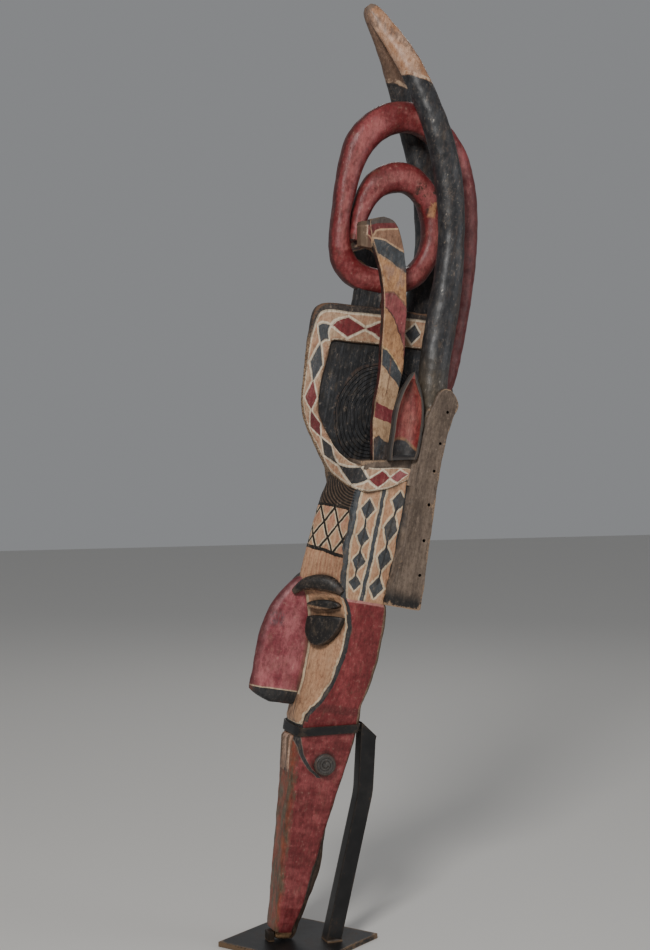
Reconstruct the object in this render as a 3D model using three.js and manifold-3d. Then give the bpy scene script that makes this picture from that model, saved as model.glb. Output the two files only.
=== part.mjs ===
// Baga Banda headdress mask, carved from one log of wood, standing on its steel display stand.
// The carving is drawn upright in a frame of its own: u runs from the face to the back, v across,
// w up from the tip of the jaw. The whole carving then leans back by LEAN about that tip.
import * as THREE from 'three';
import { mergeVertices } from 'three/addons/utils/BufferGeometryUtils.js';
import Module from 'manifold-3d';

const wasm = await Module();
wasm.setup();

// Stand
const PLATE_SIDE = 181;
const PLATE_THICK = 8;
const ANGLE_LEG = 25;
const ANGLE_THICK = 3;
const PLATE_TURN = THREE.MathUtils.degToRad(36.5);
const POST_FOOT_X = 33.5;
const POST_BEND_X = 86.5;
const POST_TOP_X = 92.5;
const POST_BEND_Z = 240;
const POST_TOP_Z = 352;
const POST_NEAR_Y = -38;
const POST_CUT = 24;
const STRAP_LOW_Z = 336;
const STRAP_TALL = 14;
const STRAP_THICK = 3;
const LUG_NEAR = 5;
const LUG_FAR = 22;
const REST_SIZE = [10, 20, 16];
const REST_X = -47.5;
const GAP = 0.3;

// Carving: its lean and where the tip of the jaw stands on the plate
const LEAN = THREE.MathUtils.degToRad(10.5);
const LEVEL_SLOPE = Math.tan(LEAN);
const TIP_X = -20;
const TIP_Z = PLATE_THICK + 1.2;

// Head and jaw
const HEAD_TOP_W = 740;
const FACE_SLANT = THREE.MathUtils.degToRad(42);
const SPINE_ROOT = [-2, 22];
const SPINE_TOP = 200;
const SCROLL = { u: -1, w: 284, radius: 17.5, face: 44 };
const FLANGE_OUT = 90;
const FLANGE_THICK = 14;
const HOLE_DIAMETER = 5;
const DEEP_HOLLOW = { back: 130, front: -18, side: 65, low: 574, high: 732 };
const HIGH_HOLLOW = { back: 130, front: 62, side: 73, low: 574, high: 836 };
const HOLLOW_ROUND = 22;

// Crest, peg, tail, horns, strips and ears
const CREST_HALF = 13;
const FIELD_HALF = 8;
const CREST_BACK = 56;
const CREST_FRONT = -142;
const CREST_FULL = -100;
const PEG = { front: -74, back: -31, low: 990, high: 1042, half: 10 };
const BROW_SIDES = 8;
const BROW_STEPS = 10;
const TAIL_SIDES = 11;
const TAIL_STEPS = 66;
const HORN_SIDES = 12;
const HORN_STEPS = 30;
const STRIP_OUT = 56;
const STRIP_IN = 43;
const BRIDGE = { front: -87, back: -68, low: 1090, high: 1121 };
const SNOUT_IN = 38;
const EAR_OPEN_V = 95;
const EAR_CENTRE_V = 92;
const EAR_DEEP = 27;
const EAR_WALL = 4;
const EAR_CUP = 20;
const EAR_SIDES = 16;
const EAR_BOXY = 0.6;

// Geometry tools

const closedSolid = (geometry) => {
  const bare = geometry.index ? geometry.toNonIndexed() : geometry.clone();
  bare.deleteAttribute('normal');
  bare.deleteAttribute('uv');
  const merged = mergeVertices(bare, 1e-4);
  const mesh = new wasm.Mesh({
    numProp: 3,
    vertProperties: new Float32Array(merged.attributes.position.array),
    triVerts: new Uint32Array(merged.index.array),
  });
  return new wasm.Manifold(mesh);
};

const toGeometry = (solid) => {
  const mesh = solid.getMesh();
  const geometry = new THREE.BufferGeometry();
  geometry.setAttribute('position', new THREE.BufferAttribute(new Float32Array(mesh.vertProperties), 3));
  geometry.setIndex(new THREE.BufferAttribute(new Uint32Array(mesh.triVerts), 1));
  return geometry;
};

const joinAll = (solids) => solids.reduce((sum, next) => sum.add(next));

const mirrored = (build) => [-1, 1].map((side) => build(side));

// A closed body through rings of equally many points, closed at both ends round their centres.
const loft = (rings) => {
  const sides = rings[0].length;
  const points = rings.flat();
  const faces = [];
  for (let ring = 0; ring + 1 < rings.length; ring += 1) {
    for (let side = 0; side < sides; side += 1) {
      const a = ring * sides + side;
      const b = ring * sides + ((side + 1) % sides);
      faces.push([a, b, b + sides], [a, b + sides, a + sides]);
    }
  }
  for (const [ring, flip] of [[0, true], [rings.length - 1, false]]) {
    const centre = new THREE.Vector3();
    rings[ring].forEach((point) => centre.addScaledVector(point, 1 / sides));
    points.push(centre);
    for (let side = 0; side < sides; side += 1) {
      const a = ring * sides + side;
      const b = ring * sides + ((side + 1) % sides);
      faces.push(flip ? [b, a, points.length - 1] : [a, b, points.length - 1]);
    }
  }
  const volume = faces.reduce((sum, [a, b, c]) => sum + points[a].dot(points[b].clone().cross(points[c])), 0);
  const outward = volume > 0 ? faces : faces.map(([a, b, c]) => [a, c, b]);
  const geometry = new THREE.BufferGeometry().setFromPoints(points);
  geometry.setIndex(outward.flat());
  return closedSolid(geometry);
};

// A plate whose outline lies in the side view (u, w), from one v to another.
const plate = (outline, lowV, highV) => {
  const drawn = outline instanceof THREE.Shape;
  const shape = drawn ? outline : new THREE.Shape(outline.map((p) => new THREE.Vector2(...p)));
  const depth = highV - lowV;
  const geometry = new THREE.ExtrudeGeometry(shape, { depth, bevelEnabled: false, curveSegments: 16 });
  geometry.rotateX(Math.PI / 2);
  geometry.translate(0, highV, 0);
  return closedSolid(geometry);
};

const block = (lowU, highU, lowV, highV, lowW, highW) => {
  const geometry = new THREE.BoxGeometry(highU - lowU, highV - lowV, highW - lowW);
  geometry.translate((lowU + highU) / 2, (lowV + highV) / 2, (lowW + highW) / 2);
  return closedSolid(geometry);
};

// Smooth stations through hand-set rows of [u, v, w, across, wide].
const smoothRows = (rows, steps) => {
  const path = new THREE.CatmullRomCurve3(rows.map(([u, v, w]) => new THREE.Vector3(u, v, w)));
  const sizes = rows.map(([, , , across, wide]) => new THREE.Vector3(across, wide, 0));
  const girth = new THREE.CatmullRomCurve3(sizes);
  return Array.from({ length: steps + 1 }, (_, step) => ({
    at: path.getPoint(step / steps),
    along: path.getTangent(step / steps),
    girth: girth.getPoint(step / steps),
  }));
};

const onSide = (side, rows) => rows.map(([u, v, w, across, wide]) => [u, side * v, w, across, wide]);

// A limb with an oval section: `across` lies in the plane of the bend, `wide` is about along v.
const limb = (rows, steps, sides) => {
  const rings = smoothRows(rows, steps).map(({ at, along, girth }) => {
    const across = new THREE.Vector3(0, 1, 0).cross(along).normalize();
    const wide = along.clone().cross(across).normalize();
    return Array.from({ length: sides }, (_, side) => {
      const turn = (2 * Math.PI * side) / sides;
      return at.clone()
        .addScaledVector(across, (girth.x / 2) * Math.cos(turn))
        .addScaledVector(wide, (girth.y / 2) * Math.sin(turn));
    });
  });
  return loft(rings);
};

// Head, face and jaw: six-sided sections [w, front u, half width there, corner u, half width there,
// back u, half width there], from the jaw's tip up to the crest. A last 1 sets a section level on
// the stand instead of square to the log, where the cheeks end over the strap.
const HEAD_SECTIONS = [
  [0, -22, 8, -16, 12, 2, 9],
  [11, -23, 15, -17, 19, 5, 13],
  [12.5, -29, 21, -24, 24, 3, 14],
  [60, -33, 23, -28, 28, 13, 18],
  [120, -39, 24, -34, 31, 20, 20],
  [180, -44, 25, -38, 34, 26, 22],
  [240, -49, 26, -43, 38, 34, 25],
  [300, -55, 27, -49, 42, 40, 34],
  [348, -53, 25, -49, 45, 43, 42, 1],
  [358, -58, 21, -48, 48, 41, 47, 1],
  [382, -58, 13, -33, 56, 38, 54],
  [414, -56, 12, -21, 60, 43, 60],
  [458, -56, 12, -12, 63, 48, 64],
  [503, -63, 12, -9, 65, 47, 70],
  [524, -69, 11, -15, 67, 45, 74],
  [543, -76, 9, -26, 68, 42, 76],
  [549, -80, 7, -32, 69, 37, 79],
  [575, -82, 5, -36, 70, 37, 80],
  [620, -78, 5, -40, 70, 37, 81],
  [680, -72, 5, -38, 70, 38, 82],
  [HEAD_TOP_W, -60, 5, -35, 71, 39, 82],
];

const headSection = ([w, front, flat, corner, side, back, rear, level = 0], margin) => [
  [front - margin, flat + margin / 2],
  [corner, side + margin],
  [back + margin, rear + margin],
  [back + margin, -rear - margin],
  [corner, -side - margin],
  [front - margin, -flat - margin / 2],
].map(([u, v]) => new THREE.Vector3(u, v, w + level * LEVEL_SLOPE * u));

const headBody = (margin) => loft(HEAD_SECTIONS.map((row) => headSection(row, margin)));

// The nose is a deep fin on the middle line, round in front, with a keel-shaped black underside.
const NOSE_SECTIONS = [
  [366, -98, -60, 4],
  [373, -118, -52, 9],
  [384, -133, -48, 12],
  [412, -132, -48, 13],
  [440, -133, -48, 14],
  [464, -132, -48, 14],
  [490, -128, -54, 14],
  [512, -122, -60, 14],
  [534, -111, -66, 13],
  [552, -98, -72, 11],
  [568, -84, -74, 7],
];
const nose = () => loft(NOSE_SECTIONS.map(([w, front, root, half]) => [
  [front, half * 0.35],
  [front + half * 0.7, half * 0.85],
  [root, half],
  [root, -half],
  [front + half * 0.7, -half * 0.85],
  [front, -half * 0.35],
].map(([u, v]) => new THREE.Vector3(u, v, w))));

// The eyes stand on the two slanting halves of the face, FACE_SLANT back from square to the front.
const facePlate = (side, outline, thick, u, v, w) => {
  const shape = new THREE.Shape(outline.map(([across, up]) => new THREE.Vector2(across, up)));
  const geometry = new THREE.ExtrudeGeometry(shape, { depth: thick, bevelEnabled: false });
  const outward = new THREE.Vector3(-Math.cos(FACE_SLANT), side * Math.sin(FACE_SLANT), 0);
  const upward = new THREE.Vector3(0, 0, 1);
  const across = upward.clone().cross(outward);
  geometry.applyMatrix4(new THREE.Matrix4().makeBasis(across, upward, outward));
  geometry.translate(u - outward.x * thick / 2, side * v - outward.y * thick / 2, w);
  return closedSolid(geometry);
};

const arcOutline = (halfWide, tallUp, tallDown, steps) => {
  const upper = Array.from({ length: steps }, (_, i) => Math.PI * (i / steps));
  const lower = Array.from({ length: steps }, (_, i) => Math.PI * (1 + i / steps));
  return [
    ...upper.map((turn) => [halfWide * Math.cos(turn), tallUp * Math.sin(turn)]),
    ...lower.map((turn) => [halfWide * Math.cos(turn), tallDown * Math.sin(turn)]),
  ];
};

const eye = (side) => joinAll([
  facePlate(side, arcOutline(31, 3, 45, 9), 24, -38, 38, 511),
  facePlate(side, arcOutline(30, 7, 6, 7), 22, -42, 40, 528),
]);

const BROW_ROWS = [
  [-92, 13, 542, 8, 10],
  [-80, 24, 556, 18, 19],
  [-62, 40, 563, 25, 23],
  [-44, 56, 562, 24, 22],
  [-32, 69, 553, 10, 14],
];
const brow = (side) => limb(onSide(side, BROW_ROWS), BROW_STEPS, BROW_SIDES);

// Jaw carving: the grooved disc on each side and the lump on the jaw's root in front.
const scroll = (side) => {
  const profile = [[0, 0], [SCROLL.radius, 0], [SCROLL.radius, 10], [SCROLL.radius - 3, 12], [4, 12], [0, 13]];
  const geometry = new THREE.LatheGeometry(profile.map((p) => new THREE.Vector2(...p)), 16);
  if (side < 0) geometry.rotateX(Math.PI);
  geometry.translate(SCROLL.u, side * (SCROLL.face - 12), SCROLL.w);
  return closedSolid(geometry);
};
const jawLump = () => plate([[-45, 268], [-55, 268], [-61.5, 320], [-45, 320]], -20, 20);

// Dark ridge along the back of the jaw, from the tip up: [w, back u, half width there].
const SPINE_SECTIONS = [
  [2, 8, 6], [11, 11.6, 8], [27, 13.5, 9], [41, 17.2, 10], [68, 22.3, 11], [100, 29, 12.5], [121, 31, 13],
  [145, 30.3, 14], [170, 28.4, 15.5], [195, 27, 17],
];
const jawSpine = () => loft(SPINE_SECTIONS.map(([w, back, half]) => {
  const root = SPINE_ROOT[0] + (SPINE_ROOT[1] - SPINE_ROOT[0]) * (w / SPINE_TOP);
  return [[root, half + 4], [back, half], [back, -half], [root, -half - 4]]
    .map(([u, v]) => new THREE.Vector3(u, v, w));
}));

// Plank flange down each side of the wearer's hollow, with a row of nail holes. Its outer front edge is
// cut off at a slant.
const FLANGE_FRONT = 44;
const FLANGE_SLANT = [[1, 1], [-9, -9], [-20, 1]];
const FLANGE_OUTLINE = [
  [36, 547], [92, 547], [92, 603], [88, 671], [85, 751], [86, 811], [88, 833], [92, 853], [97, 870],
  [90, 884], [76, 894], [61, 888], [49, 845], [36, 800],
];
const HOLE_PLACES = [[80, 858], [77, 808], [75, 764], [76, 711], [78, 655], [81, 601]];
const flange = (side) => {
  const inner = FLANGE_OUT - FLANGE_THICK;
  const [low, high] = side < 0 ? [-FLANGE_OUT, -inner] : [inner, FLANGE_OUT];
  const slant = [500, 900].map((w) => FLANGE_SLANT
    .map(([u, v]) => new THREE.Vector3(FLANGE_FRONT + u, side * (FLANGE_OUT + v), w)));
  return plate(FLANGE_OUTLINE, low, high).subtract(loft(slant));
};
const nailHole = (side, [u, w]) => {
  const geometry = new THREE.CylinderGeometry(HOLE_DIAMETER / 2, HOLE_DIAMETER / 2, 3 * FLANGE_THICK, 6);
  geometry.translate(u, side * FLANGE_OUT, w);
  return closedSolid(geometry);
};

// Block behind the crest that carries horns, ears, tail and the tops of the flanges.
const backBlock = () => plate(
  [[36, 735], [85, 735], [86, 811], [90, 850], [84, 876], [66, 880], [44, 846], [38, 800]],
  -(FLANGE_OUT - 4),
  FLANGE_OUT - 4,
);

// Crest: a panel in the middle plane with a D-shaped outline, its field sunk on both faces. Its lower
// border spreads into a collar round the top of the head.
const crestShape = () => {
  const shape = new THREE.Shape();
  shape.moveTo(CREST_BACK, 752);
  shape.lineTo(CREST_BACK, 1012);
  shape.lineTo(-118, 998);
  shape.quadraticCurveTo(-134, 995, -137, 970);
  shape.splineThru([
    [-136, 932], [-134, 901], [-132.5, 869], [-130.5, 841], [-124, 820], [-109, 791], [-90, 766], [-74, 745],
    [-60, 728], [-50, 721],
  ].map((p) => new THREE.Vector2(...p)));
  shape.lineTo(-20, 740);
  return shape;
};
const fieldShape = () => {
  const shape = new THREE.Shape();
  shape.moveTo(CREST_BACK + 10, 764);
  shape.lineTo(CREST_BACK + 10, 956);
  shape.lineTo(-98, 939);
  shape.splineThru([[-104, 892], [-106, 850], [-98, 815], [-77, 789], [-58, 768], [-38, 757], [-10, 756]]
    .map((p) => new THREE.Vector2(...p)));
  return shape;
};
const collarShape = () => {
  const shape = new THREE.Shape();
  shape.moveTo(48, 781);
  shape.lineTo(18, 772);
  shape.lineTo(-14, 765);
  shape.lineTo(-40, 760);
  shape.quadraticCurveTo(-56, 764, -77, 789);
  shape.lineTo(-98, 776);
  shape.splineThru([[-72, 745], [-57, 727], [-41, 715], [-23, 714], [6, 724], [33, 739], [46, 750]]
    .map((p) => new THREE.Vector2(...p)));
  return shape;
};
const collarPlan = (w) => [
  [-102, 5], [-72, 9], [-61, 24], [-44, 62], [-37, 74], [-20, 78], [60, 86],
  [60, -86], [-20, -78], [-37, -74], [-44, -62], [-61, -24], [-72, -9], [-102, -5],
].map(([u, v]) => new THREE.Vector3(u, v, w));
// The panel thins towards its front edge, most of all lower down: [w, half width at the front].
const CREST_THIN = [[700, 2.5], [900, 3.5], [985, 10], [1030, 11]];
const crestPlan = ([w, thin]) => [
  [CREST_FRONT, thin], [CREST_FULL, CREST_HALF], [CREST_BACK + 5, CREST_HALF],
  [CREST_BACK + 5, -CREST_HALF], [CREST_FULL, -CREST_HALF], [CREST_FRONT, -thin],
].map(([u, v]) => new THREE.Vector3(u, v, w));
const crest = () => {
  const panel = plate(crestShape(), -CREST_HALF, CREST_HALF).intersect(loft(CREST_THIN.map(crestPlan)));
  const sunk = mirrored((side) => {
    const [low, high] = side < 0 ? [-CREST_HALF - 1, -FIELD_HALF] : [FIELD_HALF, CREST_HALF + 1];
    return plate(fieldShape(), low, high);
  });
  const collar = plate(collarShape(), -100, 100).intersect(loft([collarPlan(700), collarPlan(800)]));
  return panel.subtract(sunk[0]).subtract(sunk[1]).add(collar);
};
const peg = () => block(PEG.front, PEG.back, -PEG.half, PEG.half, PEG.low, PEG.high);

// Tail: it rises behind the horns, bends over forward and coils up in the middle plane.
const TAIL_ROWS = [
  [74, 0, 862, 34, 40], [95, 0, 905, 40, 40], [101, 0, 960, 40, 38], [102, 0, 1040, 40, 36],
  [98, 0, 1110, 41, 36], [89, 0, 1170, 43, 36], [73, 0, 1224, 45, 37], [49, 0, 1269, 46, 38],
  [17, 0, 1298, 45, 39], [-20, 0, 1312, 47, 40], [-54, 0, 1309, 50, 40], [-84, 0, 1290, 50, 40],
  [-106, 0, 1260, 48, 39], [-116, 0, 1222, 41, 38], [-119, 0, 1180, 34, 37], [-119, 0, 1140, 29, 36],
  [-115, 0, 1102, 32, 36], [-103, 0, 1069, 38, 37], [-79, 0, 1050, 41, 38], [-46, 0, 1046, 40, 38],
  [-12, 0, 1051, 39, 38], [16, 0, 1066, 37, 38], [33, 0, 1095, 34, 38], [38, 0, 1132, 33, 38],
  [29, 0, 1172, 37, 38], [9, 0, 1202, 42, 38], [-19, 0, 1217, 47, 38], [-47, 0, 1212, 48, 38],
  [-70, 0, 1195, 43, 37], [-83, 0, 1168, 34, 35], [-89, 0, 1138, 27, 33], [-89, 0, 1102, 25, 32],
];
const tail = () => limb(TAIL_ROWS, TAIL_STEPS, TAIL_SIDES);

const HORN_ROWS = [
  [66, 66, 838, 40, 36], [60, 64, 880, 46, 42], [57, 61, 925, 47, 43], [57, 57, 975, 49, 43],
  [58, 54, 1025, 49, 42], [57, 52, 1075, 45, 41], [53, 50, 1125, 41, 40], [44, 50, 1172, 42, 39],
  [32, 50, 1216, 44, 38], [16, 50, 1256, 43, 38], [-4, 49, 1296, 41, 38], [-27, 44, 1335, 40, 36],
  [-51, 36, 1373, 38, 34], [-76, 24, 1407, 36, 30], [-104, 12, 1438, 31, 24], [-127, 6, 1460, 24, 18],
  [-135, 5, 1468, 14, 11],
];
const horn = (side) => limb(onSide(side, HORN_ROWS), HORN_STEPS, HORN_SIDES);

// Serpent strips: a flat bar on each side of the crest, its head bent over towards the face and ending
// in a blunt snout. A block between the strips carries the inner end of the coil.
const STRIP_FRONT = [
  [-13, 748], [-22, 796], [-27, 826], [-29, 857], [-28, 880], [-29, 903], [-33, 934], [-36, 964], [-40, 994],
  [-46, 1024], [-54, 1050], [-64, 1071], [-77, 1095], [-86, 1117], [-89, 1131],
];
const STRIP_REAR = [
  [12, 750], [9, 799], [8, 828], [7, 860], [8, 909], [5, 943], [1, 974], [-3, 1005], [-9, 1036], [-14, 1062],
  [-23, 1093], [-31, 1112], [-41, 1129], [-52, 1138], [-66, 1140],
];
const SNOUT_OUTLINE = [[-102, 1124], [-84, 1129], [-74, 1095], [-78, 1088], [-95, 1087]];
const strip = (side) => {
  const [low, high] = side < 0 ? [-STRIP_OUT, -STRIP_IN] : [STRIP_IN, STRIP_OUT];
  const [near, far] = side < 0 ? [-STRIP_OUT + 1, -SNOUT_IN] : [SNOUT_IN, STRIP_OUT - 1];
  const bar = plate([...STRIP_FRONT, ...[...STRIP_REAR].reverse()], low, high);
  return bar.add(plate(SNOUT_OUTLINE, near, far));
};
const bridge = () => block(BRIDGE.front, BRIDGE.back, -STRIP_OUT + 6, STRIP_OUT - 6, BRIDGE.low, BRIDGE.high);

// Ears: pointed leaves, hollowed on the outside, standing on the collar beside the horns. Their shell is
// nearly square in section, their bowl round: [w, middle u, half width, slope of the section].
const EAR_SECTIONS = [
  [772, 19, 21.5, 0.22], [785, 19, 23.5, 0.1], [802, 19, 24, 0], [830, 18, 24.5, 0], [850, 17, 23, 0],
  [868, 16, 19.5, 0], [885, 14, 13, 0], [898, 13, 7, 0], [908, 13, 2.5, 0],
];
const earRings = (side, centreV, trim, deep, power) => EAR_SECTIONS.map(([w, u, half, slope]) => {
  const fit = Math.max(half - trim, 0.6);
  return Array.from({ length: EAR_SIDES }, (_, step) => {
    const turn = (2 * Math.PI * step) / EAR_SIDES;
    const along = Math.sign(Math.cos(turn)) * Math.abs(Math.cos(turn)) ** power;
    const out = Math.sign(Math.sin(turn)) * Math.abs(Math.sin(turn)) ** power;
    return new THREE.Vector3(
      u + fit * along,
      side * centreV + deep * Math.sqrt(fit / 24) * out,
      w + slope * fit * along + (trim > 0 ? (850 - w) * 0.06 : 0),
    );
  });
});
const ear = (side) => {
  const [low, high] = side < 0 ? [-130, -EAR_OPEN_V] : [EAR_OPEN_V, 130];
  const shell = loft(earRings(side, EAR_CENTRE_V, 0, EAR_DEEP, EAR_BOXY));
  return shell.subtract(block(-60, 90, low, high, 740, 940));
};
const earCup = (side) => loft(earRings(side, EAR_OPEN_V, EAR_WALL, EAR_CUP, 1));

// The carving, all of one log
const hollow = ({ back, front, side, low, high }) => {
  const shape = new THREE.Shape();
  const round = HOLLOW_ROUND;
  shape.moveTo(front + round, low);
  shape.lineTo(back, low);
  shape.lineTo(back, high);
  shape.lineTo(front + round, high);
  shape.quadraticCurveTo(front, high, front, high - round);
  shape.lineTo(front, low + round);
  shape.quadraticCurveTo(front, low, front + round, low);
  return plate(shape, -side, side);
};

const carving = () => {
  const body = joinAll([
    headBody(0),
    nose(),
    jawLump(),
    jawSpine(),
    backBlock(),
    crest(),
    peg(),
    tail(),
    bridge(),
    ...mirrored(scroll),
    ...mirrored(eye),
    ...mirrored(brow),
    ...mirrored(flange),
    ...mirrored(horn),
    ...mirrored(strip),
    ...mirrored(ear),
  ]);
  const cuts = joinAll([
    hollow(DEEP_HOLLOW),
    hollow(HIGH_HOLLOW),
    ...mirrored(earCup),
    ...mirrored((side) => joinAll(HOLE_PLACES.map((place) => nailHole(side, place)))),
  ]);
  return body.subtract(cuts);
};

// Stand pieces, in the stand's own upright frame
const basePlate = () => {
  const geometry = new THREE.BoxGeometry(PLATE_SIDE, PLATE_SIDE, PLATE_THICK);
  geometry.rotateZ(PLATE_TURN);
  geometry.translate(0, 0, PLATE_THICK / 2);
  return geometry;
};

const angleIron = () => {
  const leg = ANGLE_LEG;
  const thin = ANGLE_THICK;
  const shape = new THREE.Shape([[0, 0], [leg, 0], [leg, thin], [thin, thin], [thin, leg], [0, leg]]
    .map((p) => new THREE.Vector2(...p)));
  const foot = PLATE_THICK + GAP;
  const depth = POST_TOP_Z - foot;
  const geometry = new THREE.ExtrudeGeometry(shape, { depth, steps: 2, bevelEnabled: false });
  const place = geometry.attributes.position;
  const middle = depth / 2;
  for (let i = 0; i < place.count; i += 1) {
    const x = place.getX(i);
    const level = Math.round(place.getZ(i) / middle);
    place.setX(i, x + [POST_FOOT_X, POST_BEND_X, POST_TOP_X][level]);
    place.setY(i, place.getY(i) + POST_NEAR_Y);
    place.setZ(i, [foot, POST_BEND_Z, POST_TOP_Z - POST_CUT * (x / leg)][level]);
  }
  return geometry;
};

const leaned = (solid) => {
  const geometry = toGeometry(solid);
  geometry.rotateY(LEAN);
  geometry.translate(TIP_X, 0, TIP_Z);
  return geometry;
};

const strap = () => {
  const around = closedSolid(leaned(headBody(STRAP_THICK + GAP)));
  const inside = closedSolid(leaned(headBody(GAP)));
  const slab = block(-200, 200, -100, 100, STRAP_LOW_Z, STRAP_LOW_Z + STRAP_TALL);
  const postSlope = (POST_TOP_X - POST_BEND_X) / (POST_TOP_Z - POST_BEND_Z);
  const lugEnd = POST_TOP_X - postSlope * (POST_TOP_Z - STRAP_LOW_Z) - 2 * GAP;
  const lugTop = STRAP_LOW_Z + STRAP_TALL - 1;
  const lug = block(70, lugEnd, POST_NEAR_Y + LUG_NEAR, POST_NEAR_Y + LUG_FAR, STRAP_LOW_Z + 1, lugTop);
  return around.intersect(slab).add(lug).subtract(inside);
};

// Materials
const painted = (color, roughness) => new THREE.MeshStandardMaterial({ color, roughness, metalness: 0 });
const steel = () => new THREE.MeshStandardMaterial({ color: 0x1b1b1c, roughness: 0.35, metalness: 0.6 });

const model = new THREE.Group();
const addPiece = (name, geometry, material) => {
  const mesh = new THREE.Mesh(geometry, material);
  mesh.name = name;
  model.add(mesh);
  return mesh;
};

const mask = addPiece('mask', toGeometry(carving()), painted(0xa85a55, 0.6));
mask.rotation.y = LEAN;
mask.position.set(TIP_X, 0, TIP_Z);

addPiece('base_plate', basePlate(), steel());
addPiece('post', angleIron(), steel());
addPiece('strap', toGeometry(strap()), steel());

const rest = addPiece('jaw_rest', new THREE.BoxGeometry(...REST_SIZE), steel());
rest.position.set(REST_X, 0, PLATE_THICK + GAP + REST_SIZE[2] / 2);

export default model;
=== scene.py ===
# Baga Banda headdress mask, carved from one log and painted, on its black steel stand
import math
import bmesh
import bpy
import numpy as np
from mathutils import Matrix, Vector, noise


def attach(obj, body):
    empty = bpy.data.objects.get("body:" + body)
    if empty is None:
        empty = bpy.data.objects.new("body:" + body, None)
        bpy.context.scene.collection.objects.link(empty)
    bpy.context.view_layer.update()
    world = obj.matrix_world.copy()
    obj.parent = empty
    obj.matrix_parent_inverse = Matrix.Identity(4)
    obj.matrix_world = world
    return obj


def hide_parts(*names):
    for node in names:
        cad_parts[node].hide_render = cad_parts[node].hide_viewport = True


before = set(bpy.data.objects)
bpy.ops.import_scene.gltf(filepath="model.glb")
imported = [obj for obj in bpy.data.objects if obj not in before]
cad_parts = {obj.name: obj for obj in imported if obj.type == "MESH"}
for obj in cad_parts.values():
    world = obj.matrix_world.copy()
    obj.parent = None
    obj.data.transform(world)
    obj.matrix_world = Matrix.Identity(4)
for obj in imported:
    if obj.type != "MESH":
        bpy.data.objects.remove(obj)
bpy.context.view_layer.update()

# Head, face and jaw. They are the body of the log, worked with an adze to six long sides that narrow
# down to the tip of the jaw. Sizes are millimetres in the log's own upright frame: u runs from the face
# to the back, v across, w up from the jaw's tip; the log leans back by LEAN on its stand.
LEAN = math.radians(10.5)
TIP_X = -20
TIP_Z = 9.2
CELL = 4.2

# Rows of: w, front u, half width there, corner u, half width there, back u, half width there, slope
HEAD_ROWS = [
    (0, -20, 6, -15, 10, 0, 7, 0), (3, -22, 9, -16, 14, 2, 9, 0), (11, -23, 15, -17, 19, 5, 13, 0),
    (13.5, -29, 21, -24, 24, 3, 14, 0), (60, -33, 23, -28, 28, 13, 18, 0),
    (120, -39, 24, -34, 31, 20, 20, 0), (180, -44, 25, -38, 34, 26, 22, 0),
    (240, -49, 26, -43, 38, 34, 25, 0), (300, -55, 27, -49, 42, 40, 34, 0),
    (348, -53, 25, -49, 45, 43, 42, 1), (358, -58, 21, -48, 48, 41, 47, 1),
    (382, -58, 13, -33, 56, 38, 54, 0), (414, -56, 12, -21, 60, 43, 60, 0),
    (458, -56, 12, -12, 63, 48, 64, 0), (503, -63, 12, -9, 65, 47, 70, 0),
    (524, -69, 11, -15, 67, 45, 74, 0), (543, -76, 9, -26, 68, 42, 76, 0),
    (549, -80, 7, -32, 69, 37, 79, 0), (575, -82, 5, -36, 70, 37, 80, 0),
    (620, -78, 5, -40, 70, 40, 81, 0), (680, -72, 5, -38, 70, 41, 82, 0),
    (740, -60, 5, -35, 71, 41, 82, 0),
]


def leaned(u, v, w):
    """A point of the log, leaned back on the stand, in metres."""
    x = u * math.cos(LEAN) + w * math.sin(LEAN) + TIP_X
    z = w * math.cos(LEAN) - u * math.sin(LEAN) + TIP_Z
    return (x / 1000, v / 1000, z / 1000)


def follow(rows, at):
    """Rows drawn smoothly through the measured ones, which start with their stations."""
    stations, rows = np.split(np.array(rows, float), [1], axis=1)
    stations = stations[:, 0]
    gap = np.diff(stations)
    rise = np.diff(rows, axis=0) / gap[:, None]
    both = rise[:-1] * rise[1:]
    mean = 2 * both / np.where(both > 0, rise[:-1] + rise[1:], 1)
    slope = np.vstack([rise[:1], np.where(both > 0, mean, 0), rise[-1:]])
    return eased(rows, slope, stations, at)


def eased(rows, slope, knots, at):
    """The rows at any place between their knots, leaving and reaching each with its slope."""
    gap = np.diff(knots)
    i = np.clip(np.searchsorted(knots, at, side="right") - 1, 0, len(gap) - 1)
    t = ((at - knots[i]) / gap[i])[:, None]
    h = gap[i][:, None]
    low = (1 + 2 * t) * (1 - t) ** 2 * rows[i] + t * (1 - t) ** 2 * h * slope[i]
    return low + t * t * (3 - 2 * t) * rows[i + 1] + t * t * (t - 1) * h * slope[i + 1]


def rounded(corners, steps, cut):
    """A closed ring through corners worn round, and where each point lies: 1.5 is midway on side 1."""
    corners = [Vector(c) for c in corners]
    count = len(corners)
    ring = []
    place = []
    for i, here in enumerate(corners):
        before = corners[i - 1] - here
        after = corners[(i + 1) % count] - here
        back = min(cut, 0.45 * before.length)
        ahead = min(cut, 0.45 * after.length)
        end = here + after.normalized() * ahead
        for t in (0, 1 / 3, 2 / 3, 1):
            start = here + before.normalized() * back
            ring.append((1 - t) ** 2 * start + 2 * t * (1 - t) * here + t * t * end)
            place.append(i - (1 - 2 * t) * (back / before.length if t < 0.5 else ahead / after.length))
        share = ahead / after.length
        for part in range(1, steps[i]):
            t = part / steps[i]
            ring.append(end.lerp(corners[(i + 1) % count] - after.normalized() * ahead, t))
            place.append(i + share + (1 - 2 * share) * t)
    return ring, place + [place[0] + count]


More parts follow.
